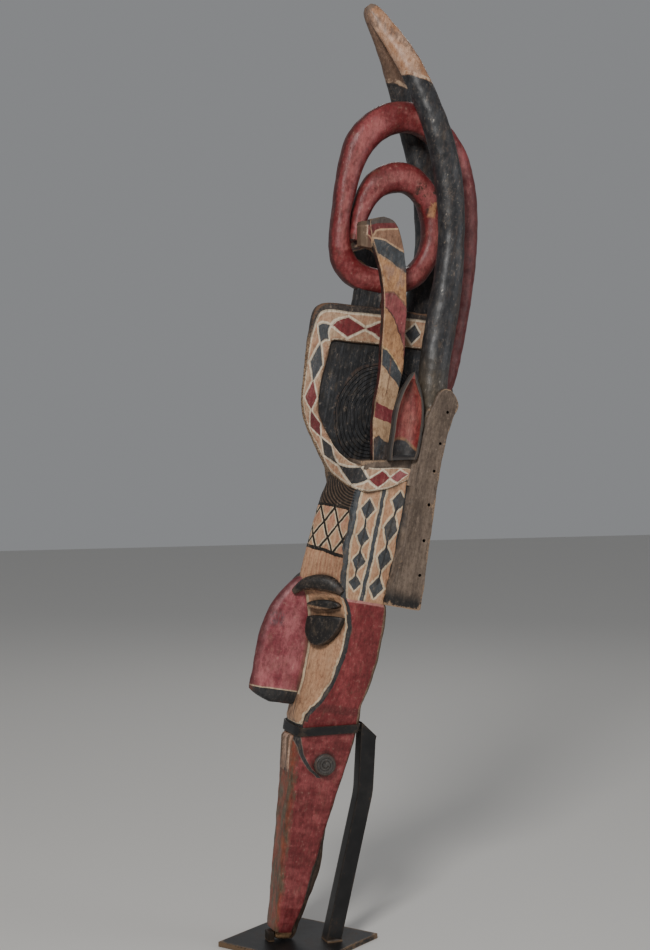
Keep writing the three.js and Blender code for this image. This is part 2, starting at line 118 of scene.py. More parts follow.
def skin(name, rings, stations, finish, places=None, loop=False, put=leaned):
    """A closed body through rings of points in the log's frame, with its pattern map."""
    count = len(rings[0])
    places = places or [[j / count for j in range(count + 1)]] * len(rings)
    points = [tuple(p) for ring in rings for p in ring]
    faces = []
    maps = []
    last = len(rings) if loop else len(rings) - 1
    for i in range(last):
        n = (i + 1) % len(rings)
        for j in range(count):
            k = (j + 1) % count
            faces.append((i * count + j, i * count + k, n * count + k, n * count + j))
            top = stations[i + 1] if i + 1 < len(stations) else stations[i]
            maps += [(places[i][j], stations[i]), (places[i][j + 1], stations[i])]
            maps += [(places[n][j + 1], top), (places[n][j], top)]
    for i in () if loop else (0, len(rings) - 1):
        ring = np.array([tuple(p) for p in rings[i]])
        points.append(tuple(ring.mean(axis=0)))
        for j in range(count):
            k = (j + 1) % count
            pair = (k, j) if i == 0 else (j, k)
            faces.append((i * count + pair[0], i * count + pair[1], len(points) - 1))
            maps += [(places[i][j], stations[i])] * 3
    mesh = bpy.data.meshes.new(name)
    mesh.from_pydata([put(*p) for p in points], [], faces)
    layer = mesh.uv_layers.new(name="UVMap")
    layer.data.foreach_set("uv", np.array(maps, dtype=np.float32).ravel())
    mesh.materials.append(finish.material)
    form = bmesh.new()
    form.from_mesh(mesh)
    if form.calc_volume(signed=True) < 0:
        bmesh.ops.reverse_faces(form, faces=form.faces)
    form.to_mesh(mesh)
    form.free()
    body = bpy.data.objects.new(name, mesh)
    bpy.context.scene.collection.objects.link(body)
    return body


def bar(name, corners, stations, steps, cut, finish, loop=False, put=leaned):
    """A bar with worn corners through stations of corner points."""
    rings, places = zip(*(rounded(points, steps, cut) for points in corners))
    return skin(name, rings, list(stations), finish, list(places), loop, put)


def both_sides(half):
    """A symmetrical section from the corners (u, v) of its one half."""
    return half + [(u, -v) for u, v in reversed(half)]


class Reading:
    """A number that varies over a surface, so that sums on it are written as sums."""

    def __init__(self, finish, socket):
        self.finish = finish
        self.socket = socket

    def work(self, operation, *values):
        return self.finish.node("ShaderNodeMath", {"operation": operation}, dict(enumerate(values)))

    def __add__(self, other):
        return self.work("ADD", self, other)

    def __sub__(self, other):
        return self.work("SUBTRACT", self, other)

    def __rsub__(self, other):
        return self.work("SUBTRACT", other, self)

    def __mul__(self, other):
        return self.work("MULTIPLY", self, other)

    def __truediv__(self, other):
        return self.work("DIVIDE", self, other)

    def __and__(self, other):
        return self.work("MINIMUM", self, other)

    def __or__(self, other):
        return self.work("MAXIMUM", self, other)

    def __abs__(self):
        return self.work("ABSOLUTE", self)

    __radd__ = __add__
    __rmul__ = __mul__

    def power(self, exponent):
        return self.work("POWER", self, exponent)

    def beat(self):
        """1 at every whole number and 0 midway between."""
        return abs(self - self.work("FLOOR", self) - 0.5) * 2

    def fade(self, low, high):
        """0 below `low`, 1 above `high` and a soft step between, or the other way round."""
        flip = float(low > high)
        inputs = {0: self, 1: min(low, high), 2: max(low, high), 3: flip, 4: 1 - flip}
        return self.finish.node("ShaderNodeMapRange", {"interpolation_type": "SMOOTHSTEP"}, inputs)

    def between(self, low, high, soft=0.6):
        return self.fade(low - soft, low + soft) & self.fade(high + soft, high - soft)

    def graph(self, points):
        """The height of a line drawn through (self, height) points."""
        low = min(y for _, y in points)
        high = max(y for _, y in points) + 1e-6
        span = points[-1][0] - points[0][0]
        stops = [((x - points[0][0]) / span, ((y - low) / (high - low),) * 3 + (1,)) for x, y in points]
        ramp = self.finish.ramp((self - points[0][0]) / span, stops)
        return ramp * (high - low) + low


class Finish:
    """A painted surface, built up from nodes. Its places are in the log's own frame, in millimetres, or
    for what stands upright in metres."""

    def __init__(self, name, upright=False):
        self.material = bpy.data.materials.new(name)
        self.material.use_nodes = True
        self.tree = self.material.node_tree
        self.tree.nodes.clear()
        self.place = self.node("ShaderNodeTexCoord", take=3)
        if not upright:
            x, z = -TIP_X, -TIP_Z
            shift = (x * math.cos(LEAN) - z * math.sin(LEAN), 0, x * math.sin(LEAN) + z * math.cos(LEAN))
            settings = {0: self.place, 1: shift, 2: (0, -LEAN, 0), 3: (1000, 1000, 1000)}
            self.place = self.node("ShaderNodeMapping", {}, settings)

    def node(self, kind, settings=None, inputs=None, take=0):
        made = self.tree.nodes.new(kind)
        for name, setting in (settings or {}).items():
            setattr(made, name, setting)
        for name, value in (inputs or {}).items():
            if isinstance(value, Reading):
                self.tree.links.new(value.socket, made.inputs[name])
            else:
                made.inputs[name].default_value = value
        return Reading(self, made.outputs[take]) if len(made.outputs) else None

    def ramp(self, place, stops, kind="LINEAR"):
        shown = self.node("ShaderNodeValToRGB", {}, {0: place})
        ramp = shown.socket.node.color_ramp
        ramp.interpolation = kind
        ramp.elements.remove(ramp.elements[-1])
        ramp.elements[0].position, ramp.elements[0].color = stops[0]
        for position, colour in stops[1:]:
            ramp.elements.new(position).color = colour
        return shown

    def mix(self, share, below, above, blend="MIX"):
        settings = {"data_type": "RGBA", "blend_type": blend}
        return self.node("ShaderNodeMix", settings, {0: share, 6: below, 7: above}, take=2)

    def over(self, colour, *coats):
        """Coats of paint laid one over another, each with the share that it covers."""
        for share, above in coats:
            colour = self.mix(share, colour, above)
        return colour

    def parts(self, place=None):
        return [self.node("ShaderNodeSeparateXYZ", {}, {0: place or self.place}, take=i) for i in range(3)]

    def stretched(self, stretch):
        return self.node("ShaderNodeMapping", {}, {0: self.place, 3: stretch})

    def noise(self, stretch, detail=4.0, rough=0.6):
        return self.node("ShaderNodeTexNoise", {}, {0: self.stretched(stretch), 2: 1.0, 3: detail, 4: rough})

    def facets(self, stretch, smooth):
        """Rounded cells, as a knife or an adze leaves them."""
        inputs = {0: self.stretched(stretch), 2: 1.0, "Smoothness": smooth}
        return self.node("ShaderNodeTexVoronoi", {"feature": "SMOOTH_F1"}, inputs)

    def map_parts(self):
        """Where a point lies round the piece, and along it."""
        return self.parts(self.node("ShaderNodeUVMap", {"uv_map": "UVMap"}))[:2]

    def surface(self, inputs):
        body = self.node("ShaderNodeBsdfPrincipled", {}, inputs)
        self.node("ShaderNodeOutputMaterial", {}, {0: body})

    def field(self, name):
        return self.node("ShaderNodeAttribute", {"attribute_name": name}, {}, take=2)


def paint(*tones):
    """A paint colour as the eye reads it, its red, green and blue from 11 to 255."""
    return (*(((tone / 255 + 0.055) / 1.055) ** 2.4 for tone in tones), 1)


KAOLIN = paint(222, 201, 170)
TAN = paint(204, 161, 127)
BONE = paint(190, 165, 135)
ROSE = paint(142, 62, 71)
RED = paint(126, 44, 48)
BLACK = paint(50, 51, 53)
INDIGO = paint(70, 75, 80)
BROWN_BLACK = paint(36, 31, 27)
EARTH = paint(92, 72, 55)


def aged(finish, colour, gloss=0.5, rub=0.5, grain=0.6, under=EARTH, dents=0.4, carved=None):
    """Old paint on carved wood: streaked along the grain, rubbed through on edges, with painted shade in the
    hollows and in cut lines.
    """
    fibre = finish.noise((0.35, 0.35, 0.022), 5.0, 0.65)
    hair = finish.noise((1.6, 1.6, 0.06), 3.0, 0.7)
    cloud = finish.noise((0.022, 0.022, 0.016))
    speck = finish.noise((0.42, 0.42, 0.3), 4.0, 0.75)
    crust = finish.noise((0.2, 0.2, 0.12), 6.0, 0.8)
    dust = finish.noise((0.11, 0.11, 0.05), 5.0, 0.7).fade(0.5, 0.8)
    edge = finish.field("edge")
    streak = fibre.fade(0.36, 0.66)
    shade = finish.mix(streak, paint(168, 158, 148), paint(255, 252, 246))
    toned = finish.mix(grain, colour, shade, "MULTIPLY")
    toned = finish.mix(cloud.fade(0.42, 0.7) * 0.28, toned, paint(120, 96, 78), "MULTIPLY")
    toned = finish.mix(crust.fade(0.52, 0.4) * 0.5, toned, paint(164, 150, 142), "MULTIPLY")
    worn = (edge * 1.1 + (speck - 0.5) * 1.3 + (cloud - 0.5) * 0.9).fade(0.62 - 0.35 * rub, 0.86 - 0.3 * rub)
    chips = (speck * 0.65 + hair * 0.35 + (cloud - 0.5) * 0.25).fade(0.665 - 0.04 * rub, 0.70 - 0.04 * rub)
    toned = finish.over(
        toned,
        (crust.fade(0.56, 0.68) * 0.22, paint(214, 190, 168)),
        (worn * 0.85, under),
        (chips * 0.75, finish.mix(streak, under, EARTH)),
        # Painted shade: darker in the hollows, where the edge field falls below 0.
        (edge.fade(-0.12, -0.5) * 0.55, BROWN_BLACK),
        (dust * 0.12, BONE),
    )
    rough = 0.78 - 0.32 * gloss + (cloud - 0.5) * 0.25 + worn * 0.12 - streak * 0.05
    height = fibre * 0.35 + hair * (0.44 * grain) - worn * 0.25 - chips * 0.5 + speck * 0.1
    height = height + finish.facets((0.045, 0.045, 0.06), 0.12) * 1.3
    bump = finish.node("ShaderNodeBump", {}, {"Strength": dents, "Distance": 0.0012, "Height": height})
    if carved is not None:
        # Painted shade: darker where the surface is cut in, as deep as the cut.
        toned = finish.mix(carved * 0.55, toned, BROWN_BLACK)
        cut_in = {"Distance": 0.0016, "Height": carved, "Normal": bump}
        bump = finish.node("ShaderNodeBump", {"invert": True}, cut_in)
    finish.surface({"Base Color": toned, "Roughness": rough, "Normal": bump, "Specular IOR Level": 0.42})


def chain(along, across, marks, half):
    """A row of lozenges: how far out of the nearest one a point is, 1 on its outline."""
    points = [(marks[0][0] - marks[0][1] - 9, 2.0)]
    for i, (middle, tall) in enumerate(marks):
        points += [(middle - tall, 1.0), (middle, 0.0), (middle + tall, 1.0)]
        if i + 1 < len(marks) and marks[i + 1][0] - marks[i + 1][1] > middle + tall + 1:
            points.append(((middle + tall + marks[i + 1][0] - marks[i + 1][1]) / 2, 1.12))
    points.append((points[-1][0] + 9, 2.0))
    return along.graph(points) + abs(across) / half


face = Finish("painted face and jaw")
u, v, w = face.parts()
wander = (face.noise((0.035, 0.035, 0.03), 3.0) - 0.5) * 7
shiver = (face.noise((0.2, 0.2, 0.12), 2.0) - 0.5) * 2.2
line_u = u + wander + shiver
line_w = w + wander * 0.7 - shiver
out = abs(v)
back_u = w.graph([(r[0], r[5]) for r in HEAD_ROWS])
from_corner = line_u - w.graph([(r[0], r[3]) for r in HEAD_ROWS])
on_side = from_corner.fade(-0.5, 0.5)
orange = face.noise((0.05, 0.05, 0.02), 4.0, 0.7).fade(0.42, 0.66)
tan = face.mix(orange * 0.4, TAN, paint(182, 126, 92))

# Temples: two columns of lozenges and a dark line between them, each edged with kaolin.
LEFT_U = -16
LEFT_LOZENGES = [(573, 13), (607, 16), (645, 17), (688, 17)]
RIGHT_LOZENGES = [(571, 18), (617, 20), (664, 24), (708, 17)]
right_u = w.graph([(560, 17), (617, 22), (669, 24), (712, 30)])
left_chain = chain(line_w, line_u - LEFT_U, LEFT_LOZENGES, 10)
nearest = left_chain & chain(line_w, line_u - right_u, RIGHT_LOZENGES, 11.5)
joins = abs(line_u - LEFT_U).fade(1.7, 1.0) | abs(line_u - right_u).fade(1.7, 1.0)
from_line = abs(line_u - w.graph([(550, -1), (719, 4)]))
temple = face.over(
    tan,
    (nearest.between(0.98, 1.3, 0.05) | from_corner.between(5, 9.5), KAOLIN),
    (nearest.fade(1.02, 0.96), face.mix(orange * 0.4, INDIGO, paint(84, 76, 66))),
    (joins & line_w.between(575, 700), BLACK),
    (from_line.fade(6.2, 5.4), KAOLIN),
    (from_line.fade(3.3, 2.7), INDIGO),
    (from_corner.between(-2.5, 6.2), INDIGO),
    ((line_u - back_u).fade(-4.5, -3.5), BLACK),
)

# Forehead: plain above the brows, then crossed lines, then arched grooves like braids up to the collar.
net = (out / 27 + line_w / 47 + 100.22).beat() | (out / 27 - line_w / 47 + 100.22).beat()
arch = ((72 - out) * 0.93).power(2.4) + abs(746 - w).power(2.4)
braid = (arch.power(1 / 2.4) / 4.3).beat()
lattice = face.over(
    face.mix(orange * 0.6, TAN, paint(186, 118, 104)),
    (net.fade(0.66, 0.74), KAOLIN), (net.fade(0.84, 0.88), BROWN_BLACK)
)
above_lattice = line_w - out.graph([(0, 617), (72, 609)])
forehead = face.over(
    TAN,
    (face.noise((0.3, 0.3, 0.012), 3.0).fade(0.45, 0.65) * 0.5, paint(176, 108, 84)),
    (above_lattice.fade(-1, 1), lattice),
    (abs(above_lattice).fade(3.2, 2.4), BROWN_BLACK),
    (line_w.fade(682, 685), face.mix(braid.fade(0.3, 0.7), paint(44, 37, 33), paint(92, 76, 63))),
    (abs(line_w - 684).fade(2.6, 1.8), BROWN_BLACK),
)

# Cheeks: tan down to the chin, edged with kaolin and black; the sides behind them are red.
beside_nose = out.fade(26, 14) * face.noise((0.25, 0.25, 0.01), 3.0).fade(0.4, 0.62)
mottle = face.noise((0.14, 0.14, 0.07), 5.0, 0.75)
chin = line_w - line_u.graph([(-64, 337), (-56, 338.5), (-50, 342), (-42, 352), (-34, 369)])
cheek = face.over(
    tan,
    (beside_nose * 0.8, paint(96, 84, 76)),
    (out.between(13.5, 17) & line_w.between(385, 540), KAOLIN),
    (mottle.fade(0.54, 0.64) * 0.5, paint(150, 108, 82)),
    (from_corner.between(-3.6, -1.5), KAOLIN),
    (chin.fade(2.2, 1.4), KAOLIN),
    (from_corner.fade(-1.8, -1) & line_w.fade(526, 521) | chin.fade(0.4, -0.4), BLACK),
)
ruddy = face.mix(face.noise((0.06, 0.06, 0.03), 4.0, 0.7).fade(0.4, 0.7), RED, paint(150, 66, 68))
flank = face.over(
    ruddy,
    (line_w.between(366, 379, 2) * 0.6, paint(100, 40, 42)),
    # A pink painted highlight along the top edge of the flank.
    (line_w.fade(541, 543), paint(200, 138, 132)),
    (from_corner.fade(5.5, 4.5), BLACK),
    ((line_u - back_u).fade(-5.5, -4), paint(140, 112, 92)),
)

# Jaw: red knife facets on the sides, worn ochre in front, and a black stem that swings down from the lump.
# The knife facets are cut in as relief, and their pink painted highlights and dark painted shade are laid
# over the red.
facet = face.noise((0.025, 0.025, 0.062), 2.0, 0.55)
jaw_red_with_painted_light = face.over(
    ruddy, (facet.fade(0.46, 0.62) * 0.5, paint(170, 90, 90)),
    (facet.fade(0.44, 0.36) * 0.25, paint(106, 36, 40))
)
ochre = face.noise((0.07, 0.07, 0.028), 5.0, 0.7)
jaw_front = face.mix(ochre.fade(0.4, 0.58), paint(108, 92, 74), paint(152, 78, 58))
jaw_front = face.mix(ochre.fade(0.56, 0.68), jaw_front, paint(178, 104, 66))
stem_u = line_w.graph([(262, -5), (266, -10), (274, -24), (286, -35), (297, -43), (313, -50), (336, -57)])
by_stem = abs(u + shiver * 0.4 - stem_u)
stem_here = line_w.between(262, 335) & out.fade(18, 24)
lump_place = line_w.between(262, 322) & line_u.fade(-44, -47) & out.fade(23, 21)
lump_line = (abs(line_u + 51).fade(1.4, 0.7) | abs(out - 12).fade(1.8, 1.0)) & lump_place
spine_edge = line_u - line_w.graph([(0, 12), (40, 11), (81, 12), (121, 15.5), (157, 24.5), (176, 40)])
jaw = face.over(
    jaw_front,
    ((from_corner + (ochre - 0.5) * 26).fade(-4, 4), jaw_red_with_painted_light),
    (stem_here & by_stem.fade(4.8, 4.2), paint(134, 112, 104)),
    (stem_here & by_stem.fade(3.7, 3.2), paint(58, 58, 60)),
    (lump_place, face.mix(ochre.fade(0.45, 0.6), paint(186, 146, 124), paint(206, 172, 150))),
    (lump_line, paint(78, 56, 50)),
    (spine_edge.fade(0, 1.5), paint(84, 76, 68)),
    (w.fade(14, 11), paint(186, 150, 112)),
)
colour = face.over(
    jaw,
    (line_w.fade(334, 336) & (1 - on_side) | line_w.fade(346, 348), face.mix(on_side, cheek, flank)),
    (line_w.fade(545.5, 547), face.mix((from_corner + 2.5).fade(-0.5, 0.5), forehead, temple)),
    ((u - back_u).fade(-2.4, -1.2), paint(70, 56, 46)),
)
grooves = (braid.fade(0.55, 0.2) & line_w.fade(684, 688)) * (1 - on_side)
lines = (net.fade(0.8, 0.9) & line_w.between(614, 682)) * (1 - on_side) * 0.5
ridges = facet.fade(0.62, 0.38) * line_w.fade(350, 340) * 0.2
carved = (grooves | lines | ridges) & (u - back_u).fade(-1, -3)
aged(face, colour, gloss=0.85, rub=0.45, grain=0.35, carved=carved)

HEAD_STEPS = [14, 18, 26, 18, 14, 4]
HEAD_WEAR = 5
head_w = np.concatenate([np.linspace(0, 14, 7), np.arange(18, 741, CELL)])
head_sections = []
for (front, flat, corner, side, back, rear, level), height in zip(follow(HEAD_ROWS, head_w), head_w):
    section = both_sides([(front, flat), (corner, side), (back, rear)])
    head_sections.append([(u, v, height + math.tan(LEAN) * level * u) for u, v in section])
head = bar("head", head_sections, head_w, HEAD_STEPS, HEAD_WEAR, face)
carved_parts = []

# Nose: a deep fin on the middle line, left standing when the cheeks were cut back. It is round in front,
# painted rose, with a black keel underneath.
# Rows of: w, front u, root u, half width
NOSE_ROWS = [
    (366, -98, -60, 4), (373, -118, -52, 9), (384, -133, -48, 12), (412, -132, -48, 13),
    (440, -133, -48, 14), (464, -132, -48, 14), (490, -128, -54, 14), (512, -122, -60, 14),
    (534, -111, -66, 13), (552, -98, -72, 11), (568, -84, -74, 7),
]
nose = Finish("rose paint of the nose")
u, v, w = nose.parts()
wander = (nose.noise((0.05, 0.05, 0.05), 3.0) - 0.5) * 6
from_front = u - w.graph([(r[0], r[1]) for r in NOSE_ROWS])
glow = nose.noise((0.035, 0.035, 0.025), 4.0, 0.65)
scuff = nose.noise((0.3, 0.3, 0.12), 5.0, 0.75).fade(0.46, 0.54)
scuff_place = (u + wander).between(-121, -100, 3) & (w + wander).between(486, 507, 5)
keel = w + wander * 0.3
colour = nose.over(
    ROSE,
    (glow.fade(0.4, 0.68), paint(184, 108, 112)),
    (from_front.fade(10, 1) * 0.75, paint(84, 38, 42)),
    (scuff * scuff_place * 0.65, paint(104, 86, 92)),
    ((u + wander * 0.4).fade(-62, -57) & w.fade(560, 540), paint(150, 92, 84)),
    (keel.fade(390, 387), KAOLIN),
    (keel.fade(387.4, 386.6), BLACK),
)
aged(nose, colour, gloss=0.85, rub=0.3, grain=0.25, under=paint(104, 62, 56))

nose_w = np.arange(366, 569, 4)
corners = []
for (front, root, half), height in zip(follow(NOSE_ROWS, nose_w), nose_w):
    section = both_sides([(front, 0.35 * half), (front + 0.7 * half, 0.85 * half), (root, half)])
    corners.append([(u, v, height) for u, v in section])
carved_parts.append(bar("nose", corners, nose_w, [2, 22, 5, 22, 2, 2], 4, nose))

# Eyes and brows: a slit-shaped lens over a black half disc on each slanting half of the face, under a
# heavy arched brow. All are cut in relief from the log and blackened.
FACE_SLANT = math.radians(42)
# Of each form: middle, half width, reach above and below it, thickness, height of its dome
EYE_LENS = ((-45, 39, 530), 28, 8, 7, 22, 1.5)
EYE_DISC = ((-38, 38, 511), 31, 3, 45, 24, 2.0)
EYE_TILT = 0.13
EYE_SKEW = 0.14
EYE_SIDES = 56
# Rows of: u, v, w, size in the plane of its bend, size across
BROW_ROWS = [(-92, 13, 542, 8, 10), (-80, 24, 556, 18, 19), (-62, 40, 563, 25, 23), (-44, 56, 562, 24, 22),
             (-32, 69, 553, 10, 14)]
black = Finish("blackened brows and eyes")
u, v, w = black.parts()
scratch = black.noise((0.5, 0.5, 0.9), 4.0, 0.75)
lid = w.between(520, 526, 1.5) & scratch.fade(0.36, 0.5)
under_brow = (w - u.graph([(-92, 539), (-80, 549), (-62, 552), (-44, 552), (-32, 547)])).between(-3, 2, 1)
colour = black.over(
    paint(34, 32, 32),
    (scratch.fade(0.54, 0.7) * 0.4, paint(76, 70, 66)),
    (w.fade(320, 310) * 0.7, paint(92, 90, 88)),
    ((lid | under_brow & scratch.fade(0.48, 0.6)) * 0.8, paint(166, 132, 102)),
)
aged(black, colour, gloss=1.0, rub=0.08, grain=0.4, under=paint(74, 62, 54), dents=0.5)


def eye_form(name, side, middle, half_wide, up, down, thick, dome):
    outward = Vector((-math.cos(FACE_SLANT), side * math.sin(FACE_SLANT), 0))
    across = Vector((0, 0, 1)).cross(outward)
    centre = Vector((middle[0], side * middle[1], middle[2]))
    half = thick / 2
    levels = [(0.06, -half), (1, -half), (1, 0), (1, half - 2.2), (0.985, half - 0.9), (0.94, half - 0.2)]
    levels += [(s, half + dome * (1 - s * s) - 0.1) for s in (0.84, 0.7, 0.55, 0.4, 0.25, 0.1)]
    rings = []
    for scale, height in levels:
        ring = []
        for angle in np.arange(EYE_SIDES) * math.tau / EYE_SIDES:
            over = half_wide * scale * math.cos(angle)
            rise = scale * (up if math.sin(angle) > 0 else down) * math.sin(angle)
            shift = over - side * EYE_SKEW * min(rise, 0)
            lift = Vector((0, 0, rise - side * EYE_TILT * over))
            ring.append(centre + across * shift + lift + outward * height)
        rings.append(ring)
    return skin(name, rings, [s for s, _ in levels], black)


def flow(rows, step):
    """Evenly spaced rows on a free curve through the given ones, and the length run at each."""
    rows = np.asarray(rows, float)
    knots = np.concatenate([[0], np.cumsum(np.linalg.norm(np.diff(rows[:, :3], axis=0), axis=1) ** 0.5)])
    gap = np.diff(knots)
    rise = np.diff(rows, axis=0) / gap[:, None]
    slope = np.vstack([rise[:1], rise, rise[-1:]])[:-1]
    before = gap[:-1, None]
    after = gap[1:, None]
    slope[1:-1] = (rise[1:] * before + rise[:-1] * after) / (before + after)
    curve = eased(rows, slope, knots, np.linspace(0, knots[-1], 40 * len(rows)))
    run = np.concatenate([[0], np.cumsum(np.linalg.norm(np.diff(curve[:, :3], axis=0), axis=1))])
    even = np.linspace(0, run[-1], max(4, round(run[-1] / step)))
    return np.column_stack([np.interp(even, run, column) for column in curve.T]), even


def limb(name, rows, step, sides, finish, square=1.0, put=leaned):
    """A carved limb: rows are u, v, w, size in the plane of its bend, size across."""
    line, run = flow(rows, step)
    angles = np.arange(sides) * math.tau / sides
    turns = [[math.copysign(abs(turn) ** square, turn) for turn in (math.cos(a), math.sin(a))]
             for a in angles]
    rings = []
    for row, way in zip(line, np.gradient(line[:, :3], axis=0)):
        ahead = Vector(way).normalized()
        across = Vector((0, 1, 0)).cross(ahead).normalized()
        wide = ahead.cross(across).normalized()
        centre = Vector(row[:3])
        rings.append([centre + across * (row[3] / 2 * c) + wide * (row[4] / 2 * s) for c, s in turns])
    return skin(name, rings, list(run), finish, put=put)


for side in (-1, 1):
    carved_parts.append(eye_form("eye lens", side, *EYE_LENS))
    carved_parts.append(eye_form("eye disc", side, *EYE_DISC))
    brow_line = [(u + 2 + 2 * side, side * v, w, across, wide) for u, v, w, across, wide in BROW_ROWS]
    carved_parts.append(limb("brow", brow_line, 4, 20, black, 0.85))

# Jaw carving: a disc with a spiral groove on each side, the end of the black stem that comes round from
# the blunt lump on the jaw's root in front, and a ridge along the jaw's back.
SCROLL_U = -1
SCROLL_W = 284
SCROLL_FOOT = 32
SCROLL_SIDES = 48
# Rows of: radius, height over the foot
SCROLL_PROFILE = [(1, 0), (17.5, 0), (17.5, 6), (17.3, 9), (16.6, 11), (15, 12), (13, 12.1), (11, 12.1),
                  (9, 12.2), (7, 12.4), (5, 12.7), (3, 13), (1, 13)]
SPIRAL = {"Turns": 2.6, "Inner radius": 0.0035, "Outer radius": 0.0145, "Groove": 0.0011}


def grown(name, sizes, grow, seed_mesh=None):
    """The plain mesh that a Geometry Nodes tree grows, with the tree taken off again."""
    tree = bpy.data.node_groups.new(name, "GeometryNodeTree")
    tree.interface.new_socket("Geometry", in_out="INPUT", socket_type="NodeSocketGeometry")
    tree.interface.new_socket("Geometry", in_out="OUTPUT", socket_type="NodeSocketGeometry")
    named = {}
    for label in sizes:
        named[label] = tree.interface.new_socket(label, in_out="INPUT", socket_type="NodeSocketFloat")

    def node(kind, inputs):
        made = tree.nodes.new(kind)
        for label, value in inputs.items():
            if isinstance(value, bpy.types.NodeSocket):
                tree.links.new(value, made.inputs[label])
            else:
                made.inputs[label].default_value = value
        return made.outputs[0] if made.outputs else None

    start = tree.nodes.new("NodeGroupInput")
    whole = node("GeometryNodeRealizeInstances", {"Geometry": grow(node, start.outputs)})
    painted = node("GeometryNodeSetMaterial", {"Geometry": whole, "Material": black.material})
    node("NodeGroupOutput", {"Geometry": painted})
    seed = bpy.data.objects.new(name, seed_mesh or bpy.data.meshes.new(name))
    bpy.context.scene.collection.objects.link(seed)
    grower = seed.modifiers.new("growth", "NODES")
    grower.node_group = tree
    for label, socket in named.items():
        grower[socket.identifier] = sizes[label]
    ready = seed.evaluated_get(bpy.context.evaluated_depsgraph_get())
    mesh = bpy.data.meshes.new_from_object(ready)
    seed.modifiers.remove(grower)
    seed.data = mesh
    return seed


def spiral_tube(node, size):
    """A fine tube wound outwards, to cut the groove on the disc's face."""
    ends = {"Start Radius": size["Inner radius"], "End Radius": size["Outer radius"], "Height": 0.0}
    wound = node("GeometryNodeCurveSpiral", {"Resolution": 44, "Rotations": size["Turns"], **ends})
    profile = node("GeometryNodeCurvePrimitiveCircle", {"Resolution": 6, "Radius": size["Groove"]})
    return node("GeometryNodeCurveToMesh", {"Curve": wound, "Profile Curve": profile, "Fill Caps": True})


cutters = []
for side in (-1, 1):
    rings = []
    for radius, height in SCROLL_PROFILE:
        level = side * (SCROLL_FOOT + height)
        rings.append([(SCROLL_U + radius * math.cos(a), level, SCROLL_W + radius * math.sin(a))
                      for a in np.arange(SCROLL_SIDES) * math.tau / SCROLL_SIDES])
    carved_parts.append(skin("scroll", rings, [r for r, _ in SCROLL_PROFILE], black))
    groove = grown("spiral groove", SPIRAL, spiral_tube)
    stand = Matrix.Translation(leaned(SCROLL_U, side * (SCROLL_FOOT + 12.6), SCROLL_W))
    stand = stand @ Matrix.Rotation(LEAN, 4, "Y")
    groove.data.transform(stand @ Matrix.Rotation(math.radians(90), 4, "X"))
    cutters.append(groove)

# Rows of: w, front u, of the lump, and of: w, back u, half width, of the ridge
LUMP_ROWS = [(266, -52), (269, -55), (292, -58), (314, -61), (319, -59), (321, -53)]
SPINE_ROWS = [(2, 8, 6), (11, 11.6, 8), (27, 13.5, 9), (41, 17.2, 10), (68, 22.3, 11), (100, 29, 12.5),
              (121, 31, 13), (145, 30.3, 14), (170, 28.4, 15.5), (195, 27, 17)]
corners = [[(-42, -20, w), (-42, 20, w), (front, 20, w), (front, -20, w)] for w, front in LUMP_ROWS]
carved_parts.append(bar("jaw lump", corners, [r[0] for r in LUMP_ROWS], [8, 3, 8, 3], 3, face))
spine_w = np.linspace(2, 195, 48)
corners = [[(w * 0.12 - 2, half + 4, w), (back, half, w), (back, -half, w), (w * 0.12 - 2, -half - 4, w)]
           for w, (back, half) in zip(spine_w, follow(SPINE_ROWS, spine_w))]
carved_parts.append(bar("jaw spine", corners, spine_w, [4, 5, 4, 6], 3, face))

# Flanges: a plank left standing down each side of the wearer's hollow, with a row of nail holes for the
# fibre dress, and the block across the back that joins them above.
# Rows of: w, inner front u, outer front u, back u
FLANGE_ROWS = [
    (547, 34, 41, 90), (549, 33, 39.5, 92), (575, 34, 41, 92), (603, 36, 44.5, 91), (636, 37, 47, 89),
    (671, 37, 48, 88), (725, 37.5, 47.5, 86), (751, 37.5, 46.5, 85), (800, 38, 46.5, 86), (822, 42, 49, 87),
    (845, 49, 51.5, 91), (856, 52, 53.5, 93), (870, 56, 57.5, 97), (884, 60, 61.5, 90), (891, 66, 67.5, 82),
    (893, 70, 71.5, 79),
]
FLANGE_IN = 76
FLANGE_OUT = 90
# Rows of: w, front u, back u, of the block
BLOCK_ROWS = [(735, 36, 85), (800, 38, 86), (846, 44, 90), (872, 58, 86), (880, 66, 80)]
BLOCK_HALF = 86
plank = Finish("grey-brown plank wood")
u, v, w = plank.parts()
weather = plank.noise((0.05, 0.05, 0.008), 5.0, 0.65)
stain = plank.noise((0.06, 0.06, 0.03), 4.0, 0.7).fade(0.42, 0.6)
stain = stain & u.between(16, 44, 5) & w.between(672, 708, 10)
colour = plank.over(
    paint(98, 84, 73),
    (weather.fade(0.36, 0.64), paint(124, 108, 95)),
    (stain * 0.8, paint(56, 58, 62)),
    ((w + weather * 20).fade(588, 566), paint(34, 31, 30)),
)
aged(plank, colour, gloss=0.4, rub=0.5, grain=0.5, under=paint(158, 130, 104), dents=0.6)


def spaced(rows):
    """Heights a cell apart up the rows, and every row's own."""
    return np.unique(np.concatenate([np.arange(rows[0][0], rows[-1][0], CELL), [r[0] for r in rows]]))


